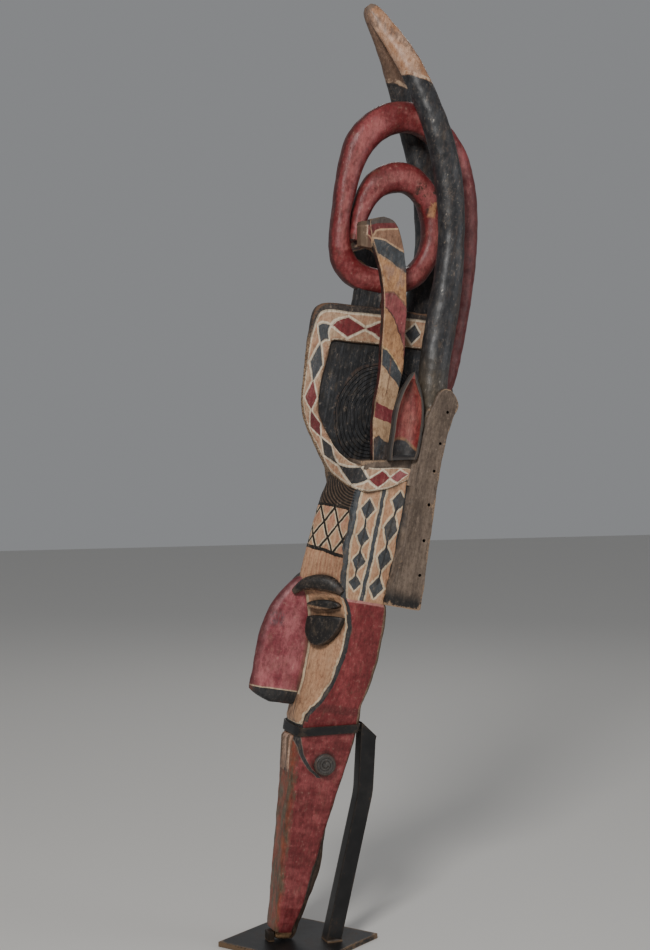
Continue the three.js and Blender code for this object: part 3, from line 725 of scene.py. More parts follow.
flange_w = spaced(FLANGE_ROWS)
for side in (-1, 1):
    corners = []
    for (inner, outer, back), height in zip(follow(FLANGE_ROWS, flange_w), flange_w):
        slant_v = FLANGE_OUT - 1 - outer + inner
        section = [(inner, FLANGE_IN), (inner, slant_v), (outer, FLANGE_OUT),
                   (back, FLANGE_OUT), (back, FLANGE_IN)]
        corners.append([(u, side * v, height) for u, v in section])
    carved_parts.append(bar("flange", corners, flange_w, [2, 3, 10, 3, 12], 1.8, plank))
block_w = spaced(BLOCK_ROWS)
corners = [[(a, -BLOCK_HALF, w), (b, -BLOCK_HALF, w), (b, BLOCK_HALF, w), (a, BLOCK_HALF, w)]
           for (a, b), w in zip(follow(BLOCK_ROWS, block_w), block_w)]
carved_parts.append(bar("back block", corners, block_w, [10, 36, 10, 36], 6, plank))

# Crest: a panel in the middle plane, framed by a broad border painted with lozenges between incised
# lines. The field inside is sunk on both faces and cut with nested grooves; below, the border spreads
# into a collar round the top of the head.
# Rows of: cell number along the border, outer u, w, inner u, w, half width outside, half width inside
BORDER_ROWS = [
    (-0.45, 56, 1012, 56, 954, 13, 13), (0, 43, 1011, 43, 953, 13, 13), (1, 15, 1009, 15, 950, 13, 13),
    (2, -51, 1004, -49, 944, 13, 13), (2.5, -84, 1000, -76, 941, 12, 13),
    (2.8, -108, 998, -91, 940, 11, 13), (3, -124, 994, -97, 939, 9.5, 13),
    (3.25, -134, 983, -100, 937, 8.8, 13), (3.5, -137, 966, -101, 935, 8, 13),
    (4, -137, 938, -102, 925, 7, 13), (4.5, -135, 901, -104, 897, 5, 13),
    (5, -133, 872, -106, 873, 4.5, 13), (5.5, -131.5, 845, -105, 848, 3.8, 13),
    (6, -126, 824, -102, 827, 3.8, 13), (6.5, -114, 799, -93, 810, 4.2, 13),
    (7, -100, 779, -82, 795, 4.8, 13), (7.5, -83, 757, -69, 780, 6, 13), (8, -66, 735, -57, 768, 9, 13),
]
COLLAR_ROWS = [
    (7, -98, 778, -82, 795, 5.5, 13), (7.5, -83, 757, -69, 780, 7.5, 13), (7.8, -72, 743, -61, 771, 9, 17),
    (8, -65, 734, -56, 764, 18, 32), (8.25, -55, 725, -47, 756, 37, 53), (8.5, -45, 717, -38, 754, 58, 71),
    (9, -27, 713, -22, 753, 76, 77), (9.5, -9, 718, -4, 756, 79, 80), (10, 8, 724, 10, 759, 80, 81),
    (10.5, 21, 732, 23, 761, 82, 82), (11, 34, 741, 36, 762, 83, 84), (11.3, 44, 747, 45, 758, 84.5, 84.5),
]
DARK_RED = paint(112, 42, 46)
PINK = paint(152, 86, 88)
LOZENGES = [INDIGO, RED, RED, INDIGO, INDIGO, RED, DARK_RED, BLACK, BLACK, RED, PINK]

crest = Finish("painted border of the crest")
round_place, cell = crest.map_parts()
wander = crest.noise((0.05, 0.05, 0.05), 3.0) - 0.5
face_place = abs(round_place - 2.5) - 0.5
BAND_PARTS = [(-1, 0.82), (2.5, 0.80), (3, 0.82), (3.5, 0.87), (4, 0.93), (5, 0.97), (12, 0.975)]
inward = face_place / cell.graph(BAND_PARTS)
across = abs(inward - 0.5) * 2
slender = cell.graph([(-1, 1.5), (7.95, 1.5), (8.05, 1.2), (8.95, 1.2), (9.05, 1.3), (10, 1.35), (12, 1.6)])
hand_cell = cell + wander * 0.16
past_ends = hand_cell.fade(0.0, -0.02) | hand_cell.fade(11, 11.02)
lozenge = hand_cell.beat() * 0.98 + across * slender + wander * 0.3 + past_ends * 2
stops = [(i / len(LOZENGES), lozenge_paint) for i, lozenge_paint in enumerate(LOZENGES)]
cell_paint = crest.ramp(hand_cell / len(LOZENGES), stops, "CONSTANT")
blush = crest.noise((0.06, 0.06, 0.06), 4.0, 0.7)
scar = crest.noise((0.3, 0.3, 0.5), 4.0, 0.7)
rim_edge = inward.fade(0.985, 1.02)
high_rim = crest.mix(scar.fade(0.4, 0.62), paint(38, 36, 36), paint(78, 68, 62))
low_rim = crest.mix(scar.fade(0.4, 0.6), paint(84, 66, 52), paint(190, 160, 128))
colour = crest.over(
    paint(202, 172, 142),
    (blush.fade(0.36, 0.62), paint(186, 142, 114)),
    (lozenge.between(0.92, 1.24, 0.06), paint(236, 221, 198)),
    (across.fade(0.80, 0.9), paint(232, 216, 192)),
    (lozenge.fade(0.96, 0.92), crest.mix(scar.fade(0.5, 0.7) * 0.3, cell_paint, paint(126, 104, 98))),
    (rim_edge, crest.mix(cell.fade(3.6, 4.4), high_rim, low_rim)),
    (face_place.fade(0.035, 0.0), paint(60, 48, 40)),
)
incised = (lozenge.between(0.985, 1.01, 0.02) | across.between(0.93, 0.97, 0.02)) * (1 - rim_edge)
aged(crest, colour, gloss=0.5, rub=0.5, grain=0.4, under=paint(104, 76, 56), carved=incised * 0.4)

field = Finish("black field of the crest")
depth = field.map_parts()[1]
stripe = field.noise((0.25, 0.25, 0.012), 4.0, 0.7)
worn_ring = field.noise((0.12, 0.12, 0.12), 3.0).fade(0.42, 0.6)
colour = field.over(
    paint(38, 40, 44),
    (stripe.fade(0.42, 0.68), paint(66, 68, 72)),
    # Painted shade: darker at the bottom of each groove.
    (depth.fade(0.2, 0.9) * 0.7, paint(30, 28, 28)),
    (depth.between(-1.1, -0.3, 0.1) * worn_ring * 0.35, paint(120, 94, 78)),
)
aged(field, colour, gloss=0.6, rub=0.3, grain=0.5, under=paint(104, 96, 90), dents=0.6)

for name, rows, step, steps, wear in (("crest border", BORDER_ROWS, 0.08, [6, 12, 6, 12], 4),
                                      ("collar", COLLAR_ROWS, 0.09, [30, 11, 30, 11], 2.5)):
    cells = np.linspace(rows[0][0], rows[-1][0], round((rows[-1][0] - rows[0][0]) / step))
    corners = [[(ou, ov, ow), (ou, -ov, ow), (iu, -iv, iw), (iu, iv, iw)]
               for ou, ow, iu, iw, ov, iv in follow(rows, cells)]
    carved_parts.append(bar(name, corners, cells, steps, wear, crest))

# Ledge between the collar's painted border and the foot of the ear and of the strip. It is part of the
# plank wood, smoothed and left unpainted.
# Rows of: u, underside w, top w, half width
LEDGE_ROWS = [(-46, 746, 762, 50), (-40, 746, 760, 66), (-30, 746, 762, 75), (-14, 748, 765, 77),
              (18, 750, 772, 80.5), (48, 752, 781, 84)]
ledge_u = np.linspace(-46, 48, 32)
corners = [[(u, -half, low), (u, half, low), (u, half, high), (u, -half, high)]
           for u, (low, high, half) in zip(ledge_u, follow(LEDGE_ROWS, ledge_u))]
carved_parts.append(bar("collar ledge", corners, ledge_u, [24, 5, 24, 5], 3.5, plank))

# Field of the crest: a thin wall sunk between the border on both faces, cut with grooves that nest round
# a centre, and the peg that stands up from the border on the middle line.
FIELD_CENTRE = (14, 842)
FIELD_EDGE = [(66, 764), (66, 958), (20, 953), (-40, 948), (-99, 943), (-104, 910), (-109, 870), (-106, 832),
              (-97, 806), (-76, 781), (-58, 764), (-38, 750), (0, 745), (40, 752)]
GROOVE_EDGE = [(-19, 915), (-45, 901), (-63, 877), (-73, 850), (-72, 823), (-65, 797), (-53, 777),
               (-34, 763), (0, 765), (24, 772), (46, 792), (58, 830), (56, 872), (40, 904), (10, 920)]
GROOVES = 14
GROOVE_PITCH = 6.1
GROOVE_REACH = 87
GROOVE_CUT = 1.3
FIELD_HALF = 8
FIELD_SIDES = 168


def reach(points, angles):
    """How far a closed outline lies from the field's centre, in each direction."""
    from_centre = np.array(points) - FIELD_CENTRE
    way = np.arctan2(from_centre[:, 1], from_centre[:, 0])
    order = np.argsort(way)
    return np.interp(angles, way[order], np.hypot(*from_centre.T)[order], period=math.tau)


angles = np.linspace(-math.pi, math.pi, FIELD_SIDES + 1)[:-1]
field_reach = reach(FIELD_EDGE, angles)
groove_reach = reach(GROOVE_EDGE, angles)
# Of each ring from the centre out: its reach, how deep it is cut, and its mark on the pattern map
levels = [(groove_reach * 0.03, 0, 0)]
for groove in range(GROOVES - 1, -1, -1):
    size = 1 - groove * GROOVE_PITCH / GROOVE_REACH
    lip_mark = 0 if groove else -0.7
    levels += [(groove_reach * (size - 0.034), 0, 0), (groove_reach * (size - 0.011), 0, lip_mark),
               (groove_reach * size, GROOVE_CUT, 1), (groove_reach * (size + 0.011), 0, lip_mark)]
bank = groove_reach * 1.011
levels += [(bank + (field_reach - bank) * part, 0, 0) for part in (0.15, 0.35, 0.55, 0.75, 0.9, 1.0)]
rings = []
for side, ordered in ((-1, levels), (1, levels[::-1])):
    for far, cut, _ in ordered:
        level = side * (FIELD_HALF - cut)
        rings.append([(FIELD_CENTRE[0] + r * math.cos(a), level, FIELD_CENTRE[1] + r * math.sin(a))
                      for r, a in zip(far, angles)])
depths = [mark for _, _, mark in levels + levels[::-1]]
carved_parts.append(skin("crest field", rings, depths, field))
corners = [[(-73, v, 992), (-32, v, 992), (-32, v, 1040), (-73, v, 1040)] for v in np.linspace(-10, 10, 5)]
carved_parts.append(bar("peg", corners, range(5), [9, 10, 9, 10], 3, field))

# Ears: pointed leaves, hollowed like a spoon on the outside, with a black notched pattern at the base.
# Rows of: w, middle u, half width, slope of the section
EAR_ROWS = [(772, 19, 21.5, 0.22), (785, 19, 23.5, 0.1), (802, 19, 24, 0), (830, 18, 24.5, 0),
            (850, 17, 23, 0), (868, 16, 19.5, 0), (885, 14, 13, 0), (898, 13, 7, 0), (905, 13, 3.6, 0),
            (908, 13, 1.5, 0)]
EAR_FACE = 95
EAR_DEEP = 27
EAR_CUP = 20
EAR_WALL = 4
EAR_POINTS = 22
NOTCHES = [(-6, 786), (2, 798), (10, 803), (18, 804), (25, 803), (32, 797), (38, 790), (46, 784)]
ear = Finish("painted ear")
u, v, w = ear.parts()
round_place = ear.map_parts()[0]
bowl = ear.noise((0.06, 0.06, 0.03), 4.0, 0.65)
in_bowl = round_place.between(0.51, 0.964, 0.004)
notched = w - (u + (bowl - 0.5) * 6).graph(NOTCHES)
mottled = bowl.fade(0.4, 0.6)
trim = round_place.between(0.494, 0.51, 0.003) | round_place.between(0.964, 0.984, 0.003)
back = round_place.fade(0.494, 0.49) | round_place.fade(0.984, 0.988)
colour = ear.over(
    paint(146, 58, 58),
    (bowl.fade(0.4, 0.66), paint(184, 106, 98)),
    (round_place.between(0.66, 0.80, 0.08) * 0.4, paint(176, 108, 104)),
    (notched.fade(6, 1) & in_bowl, ear.mix(mottled, paint(168, 124, 96), paint(124, 104, 80))),
    (notched.fade(0.5, -2.5) & in_bowl, paint(64, 66, 70)),
    (trim, paint(214, 190, 160)),
    (back, ear.mix(mottled, paint(42, 42, 44), paint(72, 68, 66))),
)
aged(ear, colour, gloss=0.55, rub=0.1, grain=0.5, under=paint(58, 54, 52))

ear_w = np.unique(np.concatenate([np.arange(772, 906, 3.6), [898, 902, 905, 907, 908]]))
half_turn = [math.pi * step / (EAR_POINTS - 1) for step in range(EAR_POINTS)]
for side in (-1, 1):
    rings = []
    for height, (middle, half, slope) in zip(ear_w, follow(EAR_ROWS, ear_w)):
        inner = max(half - EAR_WALL, 0.3)
        deep = EAR_DEEP * math.sqrt(half / 24)
        cup = EAR_CUP * math.sqrt(inner / 24) if 776 < height < 896 else 0.3
        ring = []
        for angle in half_turn:
            along = half * math.copysign(abs(math.cos(angle)) ** 0.6, math.cos(angle))
            back_v = EAR_FACE - 1 - deep * math.sin(angle) ** 0.6
            ring.append((middle - along, side * back_v, height - slope * along))
        for angle in half_turn:
            along = inner * math.cos(angle)
            ring.append((middle + along, side * (EAR_FACE - cup * math.sin(angle)), height + slope * along))
        rings.append(ring)
    carved_parts.append(skin("ear", rings, list(ear_w), ear))

# Serpent strips: a flat bar on each side of the crest, painted in bands on its outer face. Its head bends
# over towards the face and ends in a blunt snout, and a block between the strips carries the coil's end.
STRIP_FRONT = [
    (-13, 748), (-22, 796), (-27, 826), (-29, 857), (-28, 880), (-29, 903), (-33, 934), (-36, 964),
    (-40, 994), (-46, 1024), (-54, 1050), (-64, 1071), (-77, 1095), (-86, 1117), (-89, 1131),
]
STRIP_REAR = [
    (12, 750), (9, 799), (8, 828), (7, 860), (8, 909), (5, 943), (1, 974), (-3, 1005), (-9, 1036),
    (-14, 1062), (-23, 1093), (-31, 1112), (-41, 1129), (-52, 1138), (-66, 1140),
]
SNOUT = [(-78, 1088), (-74, 1095), (-84, 1130), (-101, 1125), (-102, 1121), (-95, 1087)]
STRIP_IN = 43
STRIP_OUT = 56
# The painted bands of a strip from its foot up: the paint above each line, the line itself, and the
# paint that outlines it.
TAWNY = paint(184, 138, 98)
LONG_ROSE = paint(150, 76, 78)
CREAM = paint(202, 168, 134)
STRIP_BANDS = [
    (CREAM, [(-26, 795), (-13, 806), (-3, 799), (12, 798)], CREAM),
    (paint(138, 62, 68), [(-30, 830), (0, 825), (12, 822)], CREAM),
    (CREAM, [(-30, 857), (-2, 849), (12, 845)], CREAM),
    (INDIGO, [(-30, 912), (4, 885), (14, 876)], CREAM),
    (TAWNY, [(-34, 942), (-23, 937), (-11, 927), (6, 906), (14, 908)], paint(206, 176, 130)),
    (LONG_ROSE, [(-42, 1003), (-36, 1001), (-22, 988), (-1, 955), (6, 930)], paint(96, 56, 50)),
    (TAWNY, [(-48, 1024), (-29, 1028), (-14, 1018), (0, 1006)], paint(134, 92, 74)),
    (INDIGO, [(-62, 1080), (-46, 1074), (-14, 1060)], paint(170, 140, 112)),
    (paint(150, 112, 88), [(-74, 1104), (-66, 1105), (-50, 1102), (-20, 1091)], CREAM),
]
strip = Finish("painted bands of the strips")
u, v, w = strip.parts()
round_place = strip.map_parts()[0]
wander = strip.noise((0.06, 0.06, 0.06), 3.0) - 0.5
ragged = strip.noise((0.5, 0.5, 0.3), 3.0) - 0.5
hand_u = u + wander * 7
blush = strip.noise((0.07, 0.07, 0.025), 4.0, 0.65)
mottled = blush.fade(0.4, 0.6)
colour = strip.mix(mottled, INDIGO, paint(92, 84, 82))
for band_paint, line, outline in STRIP_BANDS:
    height = w - hand_u.graph(line) + wander * 5 + ragged * 1.5
    edged = (height.between(-1.5, 1.4, 0.5), outline)
    colour = strip.over(colour, (height.fade(0.0, 0.6), band_paint), edged)
worn_bone = strip.noise((0.10, 0.10, 0.03), 4.0, 0.7).fade(0.46, 0.64) & w.between(1018, 1066, 5)
ARCH_TOP = [(-100, 1104), (-84, 1110), (-78, 1114), (-68, 1119), (-41, 1126), (-20, 1130)]
ARCH_FRONT = [(1066, -70), (1082, -73), (1095, -79), (1106, -79), (1116, -75), (1130, -60)]
under_arch = hand_u.graph(ARCH_TOP) - w
behind_arch = hand_u - w.graph(ARCH_FRONT)
inside = under_arch & behind_arch & w.fade(1060, 1066) * 40
cap = w - u.graph([(-104, 1117), (-87, 1121), (-75, 1127), (-49, 1133), (-30, 1136)])
snout_face = u - w.graph([(1086, -97), (1101, -104), (1125, -107)])
snout_face = snout_face & (w.graph([(1086, -85), (1120, -90)]) - u)
snout_face = snout_face & (cap * -1) & (w - 1089)
side_place = abs(round_place - 2.5) - 0.5
crack = abs(side_place - 0.56 + wander * 0.2).fade(0.035, 0.015) & w.between(868, 925, 8)
front_side = strip.mix(mottled, paint(40, 34, 31), paint(98, 50, 48))
colour = strip.over(
    colour,
    (worn_bone * 0.6, paint(150, 122, 112)),
    (w.fade(1085, 1087) & inside.fade(0.5, -0.5), paint(116, 48, 50)),
    (w.fade(1072, 1077) & inside.between(-1.2, 1.8, 0.5), CREAM),
    (cap.fade(-0.5, 1), paint(84, 76, 72)),
    (snout_face.fade(-1.5, -0.8), paint(206, 176, 152)),
    (snout_face.fade(1.2, 2.2), paint(150, 126, 106)),
    (crack * 0.7, paint(112, 78, 62)),
    (side_place.fade(1.01, 1.04) & w.fade(1092, 1084), front_side),
    (abs(side_place - 0.97).fade(0.04, 0.02) * 0.7, CREAM),
)
stained = strip.noise((0.09, 0.09, 0.05), 5.0, 0.75).fade(0.5, 0.62)
colour = strip.mix(stained * 0.45, colour, paint(146, 106, 78), "MULTIPLY")
aged(strip, colour, gloss=0.7, rub=0.4, grain=0.4)

rails = [(i, *front, *rear) for i, (front, rear) in enumerate(zip(STRIP_FRONT, STRIP_REAR))]
marks = np.linspace(0, len(rails) - 1, 92)
for side in (-1, 1):
    low, high = sorted((side * STRIP_IN, side * STRIP_OUT))
    corners = [[(fu, high, fw), (fu, low, fw), (bu, low, bw), (bu, high, bw)]
               for fu, fw, bu, bw in follow(rails, marks)]
    carved_parts.append(bar("serpent strip", corners, marks, [3, 9, 3, 9], 2.2, strip))
    corners = [[(u, side * v, w) for u, w in SNOUT] for v in (37, 42, 48, 54)]
    carved_parts.append(bar("snout", corners, range(4), [1, 4, 3, 1, 4, 3], 1.5, strip))
corners = [[(-86, v, 1091), (-69, v, 1091), (-69, v, 1120), (-86, v, 1120)]
           for v in np.linspace(-48, 48, 25)]
carved_parts.append(bar("cross block", corners, range(25), [4, 7, 4, 7], 3, strip))

# Tail: a thick red limb that rises behind the horns, bends over forward and coils up over the crest.
# It is shaved with a knife and rubbed; rubbed paint and a painted highlight turn the crowns of its sides
# pink, and painted shade darkens its inner and outer edges.
# Rows of: u, w, size in the plane of the coil, size across
TAIL_ROWS = [
    (74, 862, 34, 40), (95, 905, 40, 40), (101, 960, 40, 38), (102, 1040, 40, 36), (98, 1110, 41, 36),
    (89, 1170, 43, 36), (73, 1224, 45, 37), (49, 1269, 46, 38), (17, 1298, 45, 39), (-20, 1312, 47, 40),
    (-54, 1309, 50, 40), (-84, 1290, 50, 40), (-106, 1260, 48, 39), (-116, 1222, 41, 38),
    (-119, 1180, 34, 37), (-119, 1140, 29, 36), (-115, 1102, 32, 36), (-103, 1069, 38, 37),
    (-79, 1050, 41, 38), (-46, 1046, 40, 38), (-12, 1051, 39, 38), (16, 1066, 37, 38), (33, 1095, 34, 38),
    (38, 1132, 33, 38), (29, 1172, 37, 38), (9, 1202, 42, 38), (-19, 1217, 47, 38), (-47, 1212, 48, 38),
    (-70, 1195, 43, 37), (-83, 1168, 34, 35), (-89, 1138, 27, 33), (-89, 1102, 25, 32),
]
coil = Finish("rose paint of the coil")
u, v, w = coil.parts()
round_place, along = coil.map_parts()
glow = coil.noise((0.03, 0.03, 0.03), 4.0, 0.65)
patch = coil.noise((0.07, 0.07, 0.07), 4.0, 0.7)
from_edge = abs(abs(round_place - 0.5) * 2 - 0.5)
chip = patch.fade(0.46, 0.5) & (u - 24).between(-5, 6, 2) & w.between(1163, 1188, 3)
dark_patch = patch.fade(0.5, 0.6) & (u - 8).between(-16, 22, 6) & w.between(1170, 1212, 8)
colour = coil.over(
    paint(120, 40, 43),
    (glow.fade(0.42, 0.7), paint(152, 72, 74)),
    # Pink on the crowns of the sides: rubbed paint with a painted highlight.
    (from_edge.fade(0.16, 0.02) * glow.fade(0.36, 0.56) * 0.6, paint(186, 114, 112)),
    # Dark red on the inner and outer edges: painted shade.
    ((from_edge * 2 + (patch - 0.5) * 0.5).fade(0.6, 0.84) * 0.9, paint(78, 32, 32)),
    (dark_patch, paint(66, 46, 38)),
    (along.fade(420, 330) * 0.5, paint(96, 46, 46)),
    (chip, paint(196, 142, 104)),
)
aged(coil, colour, gloss=1.05, rub=0.3, grain=0.3, under=paint(96, 48, 40), dents=0.6)
tail_line = [(u, 0, w, across, wide) for u, w, across, wide in TAIL_ROWS]
carved_parts.append(limb("tail", tail_line, 4.6, 28, coil, 0.8))

# Horns: a pair of long black horns that stand on the block and sweep forward and in over the coil. Their
# tips are bare wood.
# Rows of: u, v, w, size in the plane of its bend, size across
HORN_ROWS = [
    (66, 66, 838, 40, 36), (60, 64, 880, 46, 42), (57, 61, 925, 47, 43), (57, 57, 975, 49, 43),
    (58, 54, 1025, 49, 42), (57, 52, 1075, 45, 41), (53, 50, 1125, 41, 40), (44, 50, 1172, 42, 39),
    (32, 50, 1216, 44, 38), (16, 50, 1256, 43, 38), (-4, 49, 1296, 41, 38), (-27, 44, 1335, 40, 36),
    (-51, 36, 1373, 38, 34), (-76, 24, 1407, 36, 30), (-104, 12, 1438, 31, 24), (-124, 7, 1458, 25, 19),
    (-131, 5.6, 1464.5, 19, 15), (-135, 5, 1468, 9, 7),
]
horn = Finish("black horns with bare tips")
u, v, w = horn.parts()
round_place = horn.map_parts()[0]
fibre = horn.noise((0.05, 0.05, 0.02), 4.0, 0.7)
scuff = horn.noise((0.12, 0.12, 0.03), 5.0, 0.75)
splash = horn.noise((0.16, 0.16, 0.1), 3.0)
tip_wood = horn.mix(fibre.fade(0.4, 0.62), paint(176, 130, 98), paint(204, 166, 140))
tip_wood = horn.mix((v + fibre * 6).fade(0, 6), tip_wood, paint(126, 100, 84))
tip_line = w + fibre * 8 + u * 0.12
tie = (w + u * 0.55 + fibre * 10) - 1380
colour = horn.over(
    paint(42, 44, 48),
    (fibre.fade(0.42, 0.66), paint(66, 67, 70)),
    ((scuff + abs(round_place - 0.5) * 0.3).fade(0.58, 0.72) * 0.5, paint(92, 78, 70)),
    (splash.fade(0.70, 0.73) * 0.7, paint(190, 184, 172)),
    ((w + fibre * 90 + u * 0.4).fade(1030, 920) * 0.8, paint(98, 88, 74)),
    (tip_line.fade(1361, 1364), tip_wood),
    (tip_line.between(1363, 1368, 1) & scuff.fade(0.44, 0.54), paint(214, 184, 156)),
    ((tie.between(-5, 9, 2) & scuff.fade(0.45, 0.6)) * 0.7, paint(112, 94, 86)),
)
aged(horn, colour, gloss=1.0, rub=0.2, grain=0.4, under=paint(106, 92, 82), dents=0.6)
for side in (-1, 1):
    horn_line = [(u, side * v, w, across, wide) for u, v, w, across, wide in HORN_ROWS]
    carved_parts.append(limb("horn", horn_line, 4.8, 26, horn, 0.9))

# Hollow behind the face for the wearer's head, cut in two depths and left as bare adzed wood, and the
# nail holes bored through the flanges.
# Rows of: front u, half width, low w, high w
HOLLOWS = [(-18, 65, 574, 732), (62, 73, 574, 836)]
HOLLOW_BACK = 132
NAIL_HOLES = [(80, 858), (77, 808), (75, 764), (76, 711), (78, 655), (81, 601)]
NAIL_HOLE = {"Hole radius": 0.0026, "Bore length": 0.04}
bare = Finish("bare adzed wood")
tone = bare.noise((0.04, 0.04, 0.01), 5.0, 0.65)
chop = bare.facets((0.05, 0.05, 0.03), 0.3)
colour = bare.mix(tone.fade(0.36, 0.64), paint(74, 56, 43), paint(116, 90, 68))
aged(bare, colour, gloss=0.3, rub=0.3, grain=0.9, under=paint(132, 104, 78), dents=0.8, carved=chop * 0.5)
for front, side, low, high in HOLLOWS:
    depths = (front, front + 3, front + 9, front + 22, 90, HOLLOW_BACK)
    insets = (20, 11, 4, 0, 0, 0)
    corners = [[(u, -side + i, low + i), (u, side - i, low + i),
                (u, side - i, high - i), (u, -side + i, high - i)] for u, i in zip(depths, insets)]
    cutters.append(bar("hollow", corners, depths, [30, 34, 30, 34], 14, bare))


def pins(node, size):
    """Pins set across every hole's place, to bore the holes."""
    bore = {"Vertices": 10, "Radius": size["Hole radius"], "Depth": size["Bore length"]}
    pin = node("GeometryNodeMeshCylinder", bore)
    across = (math.radians(90), 0, 0)
    set_in = {"Points": size["Geometry"], "Instance": pin, "Rotation": across}
    return node("GeometryNodeInstanceOnPoints", set_in)


places = bpy.data.meshes.new("hole places")
places.from_pydata([leaned(u, v, w) for u, w in NAIL_HOLES for v in (-83, 83)], [], [])
cutters.append(grown("nail holes", NAIL_HOLE, pins, places))

# The carving is one piece of wood, so all its forms are joined into one skin here. The skin then takes
# the slight unevenness of hand work, and a field that says where its edges and corners are.
UNEVEN = 0.0007
UNEVEN_SIZE = 0.028
SHARP_WOOD = math.radians(42)


def joined(name, first, others, cuts=()):
    for label, bodies, operation in (("joins", others, "UNION"), ("cuts", cuts, "DIFFERENCE")):
        if not bodies:
            continue
        group = bpy.data.collections.new(name + " " + label)
        for body in bodies:
            group.objects.link(body)
        step = first.modifiers.new(label, "BOOLEAN")
        step.solver = "MANIFOLD"
        step.operation = operation
        step.operand_type = "COLLECTION"
        step.collection = group
        step.material_mode = "TRANSFER"
    ready = first.evaluated_get(bpy.context.evaluated_depsgraph_get())
    whole = bpy.data.objects.new(name, bpy.data.meshes.new_from_object(ready))
    whole.data.name = name
    bpy.context.scene.collection.objects.link(whole)
    for body in [first, *others, *cuts]:
        bpy.data.objects.remove(body)
    return whole


def numbers(items, key, width, kind=np.float64):
    found = np.empty(len(items) * width, dtype=kind)
    items.foreach_get(key, found)
    return found.reshape(-1, width)


def roughened(mesh, amount, size):
    """Moves the skin in and out a little, as hand tools and wear leave it."""
    places = numbers(mesh.vertices, "co", 3)
    ways = numbers(mesh.vertex_normals, "vector", 3)
    waves = np.array([noise.noise(Vector(p) / size) + 0.5 * noise.noise(Vector(p) / size * 2.3)
                      for p in places])
    cuts = np.array([noise.voronoi(Vector(p) / (0.6 * size))[0][0] for p in places]) - 0.5
    moved = (waves * amount + cuts * 1.6 * amount)[:, None]
    mesh.vertices.foreach_set("co", (places + ways * moved).ravel())
    mesh.update()


def mark_edges(mesh):
    """Writes the field that finishes read as edge: above 0 on edges and corners, below 0 in hollows."""
    places = numbers(mesh.vertices, "co", 3)
    ways = numbers(mesh.vertex_normals, "vector", 3)
    a, b = numbers(mesh.edges, "vertices", 2, np.int32).T
    run = places[b] - places[a]
    length = np.maximum(np.linalg.norm(run, axis=1), 1e-6)
    bend = (run * (ways[b] - ways[a])).sum(axis=1) / length
    count = len(places)
    share = np.maximum(np.bincount(a, minlength=count) + np.bincount(b, minlength=count), 1)
    value = (np.bincount(a, bend, count) + np.bincount(b, bend, count)) / share * 3
    near = 1 / (length + 0.001)
    weight = np.bincount(a, near, count) + np.bincount(b, near, count)
    for _ in range(3):
        around = (np.bincount(a, near * value[b], count) + np.bincount(b, near * value[a], count)) / weight
        value = 0.45 * value + 0.55 * around
    field = mesh.attributes.new("edge", "FLOAT", "POINT")
    field.data.foreach_set("value", np.clip(value, -1, 1).astype(np.float32))


def shaded(piece, sharp):
    """Marks a piece's edges for its finish, and shades it smooth between the sharp ones."""
    mark_edges(piece.data)
    piece.data.shade_smooth()
    piece.data.set_sharp_from_angle(angle=sharp)


mask = joined("carved_mask", head, carved_parts, cutters)
roughened(mask.data, UNEVEN, UNEVEN_SIZE)
shaded(mask, SHARP_WOOD)
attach(mask, "root")
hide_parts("mask")

# Base plate: thick square steel plate, blackened and waxed, its edges rubbed to a rusty gold. Everything
# stands on it.
PLATE_SIDE = 181
PLATE_THICK = 8
PLATE_TURN = math.radians(36.5)
STEEL_WEAR = 0.8
SHARP_STEEL = math.radians(35)
steel = Finish("blackened steel", upright=True)
cloud = steel.noise((18, 18, 18), 5.0, 0.7)
speck = steel.noise((260, 260, 260), 4.0, 0.75)
brush = steel.noise((60, 60, 400), 3.0)
rubbed = (steel.field("edge") * 1.2 + (speck - 0.5) * 1.5 + (cloud - 0.5) * 0.8).fade(0.42, 0.8)
rust = (speck * 0.6 + cloud * 0.4).fade(0.56, 0.64)
low_down = steel.parts()[2].fade(0.012, 0.009)
colour = steel.over(
    paint(30, 30, 31),
    (cloud.fade(0.35, 0.7), paint(46, 45, 45)),
    (rust * 0.35 + rust * low_down * 0.3, paint(96, 70, 50)),
    (rubbed * (low_down * 0.55 + 0.12), paint(140, 112, 84)),
)
rough = 0.42 + (cloud - 0.5) * 0.3 + rust * 0.2 + (brush - 0.5) * 0.1
height = speck * 0.5 + brush * 0.3 - rubbed * 0.2
bump = steel.node("ShaderNodeBump", {}, {"Strength": 0.25, "Distance": 0.0006, "Height": height})
steel.surface({"Base Color": colour, "Roughness": rough, "Normal": bump, "Metallic": 0.4})


def upright(x, y, z):
    return (x / 1000, y / 1000, z / 1000)


def dressed(piece, node):
    """Finishes a steel piece and lets it stand for its node."""
    shaded(piece, SHARP_STEEL)
    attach(piece, "root")
    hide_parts(node)


def block_bar(name, low, high, worn, turn=0.0):
    """A steel block with broken edges, between its low and high corners."""
    length, wide, tall = np.subtract(high, low)
    spans = np.linspace(worn, length - worn, max(2, round(length / 5)))
    stations = [(0, worn), *((s, 0) for s in spans), (length, worn)]
    corners = []
    for at, inset in stations:
        x = low[0] + at
        square = [(low[1] + inset, low[2] + inset), (high[1] - inset, low[2] + inset),
                  (high[1] - inset, high[2] - inset), (low[1] + inset, high[2] - inset)]
        corners.append([(x * math.cos(turn) - y * math.sin(turn), x * math.sin(turn) + y * math.cos(turn), z)
                        for y, z in square])
    steps = [max(1, round(wide / 5)), max(1, round(tall / 5))] * 2
    return bar(name, corners, range(len(corners)), steps, worn, steel, put=upright)


half_side = PLATE_SIDE / 2
top_corner = (half_side, half_side, PLATE_THICK)
plate = block_bar("plate body", (-half_side, -half_side, 0), top_corner, 0.9, PLATE_TURN)
dressed(joined("steel_base_plate", plate, []), "base_plate")

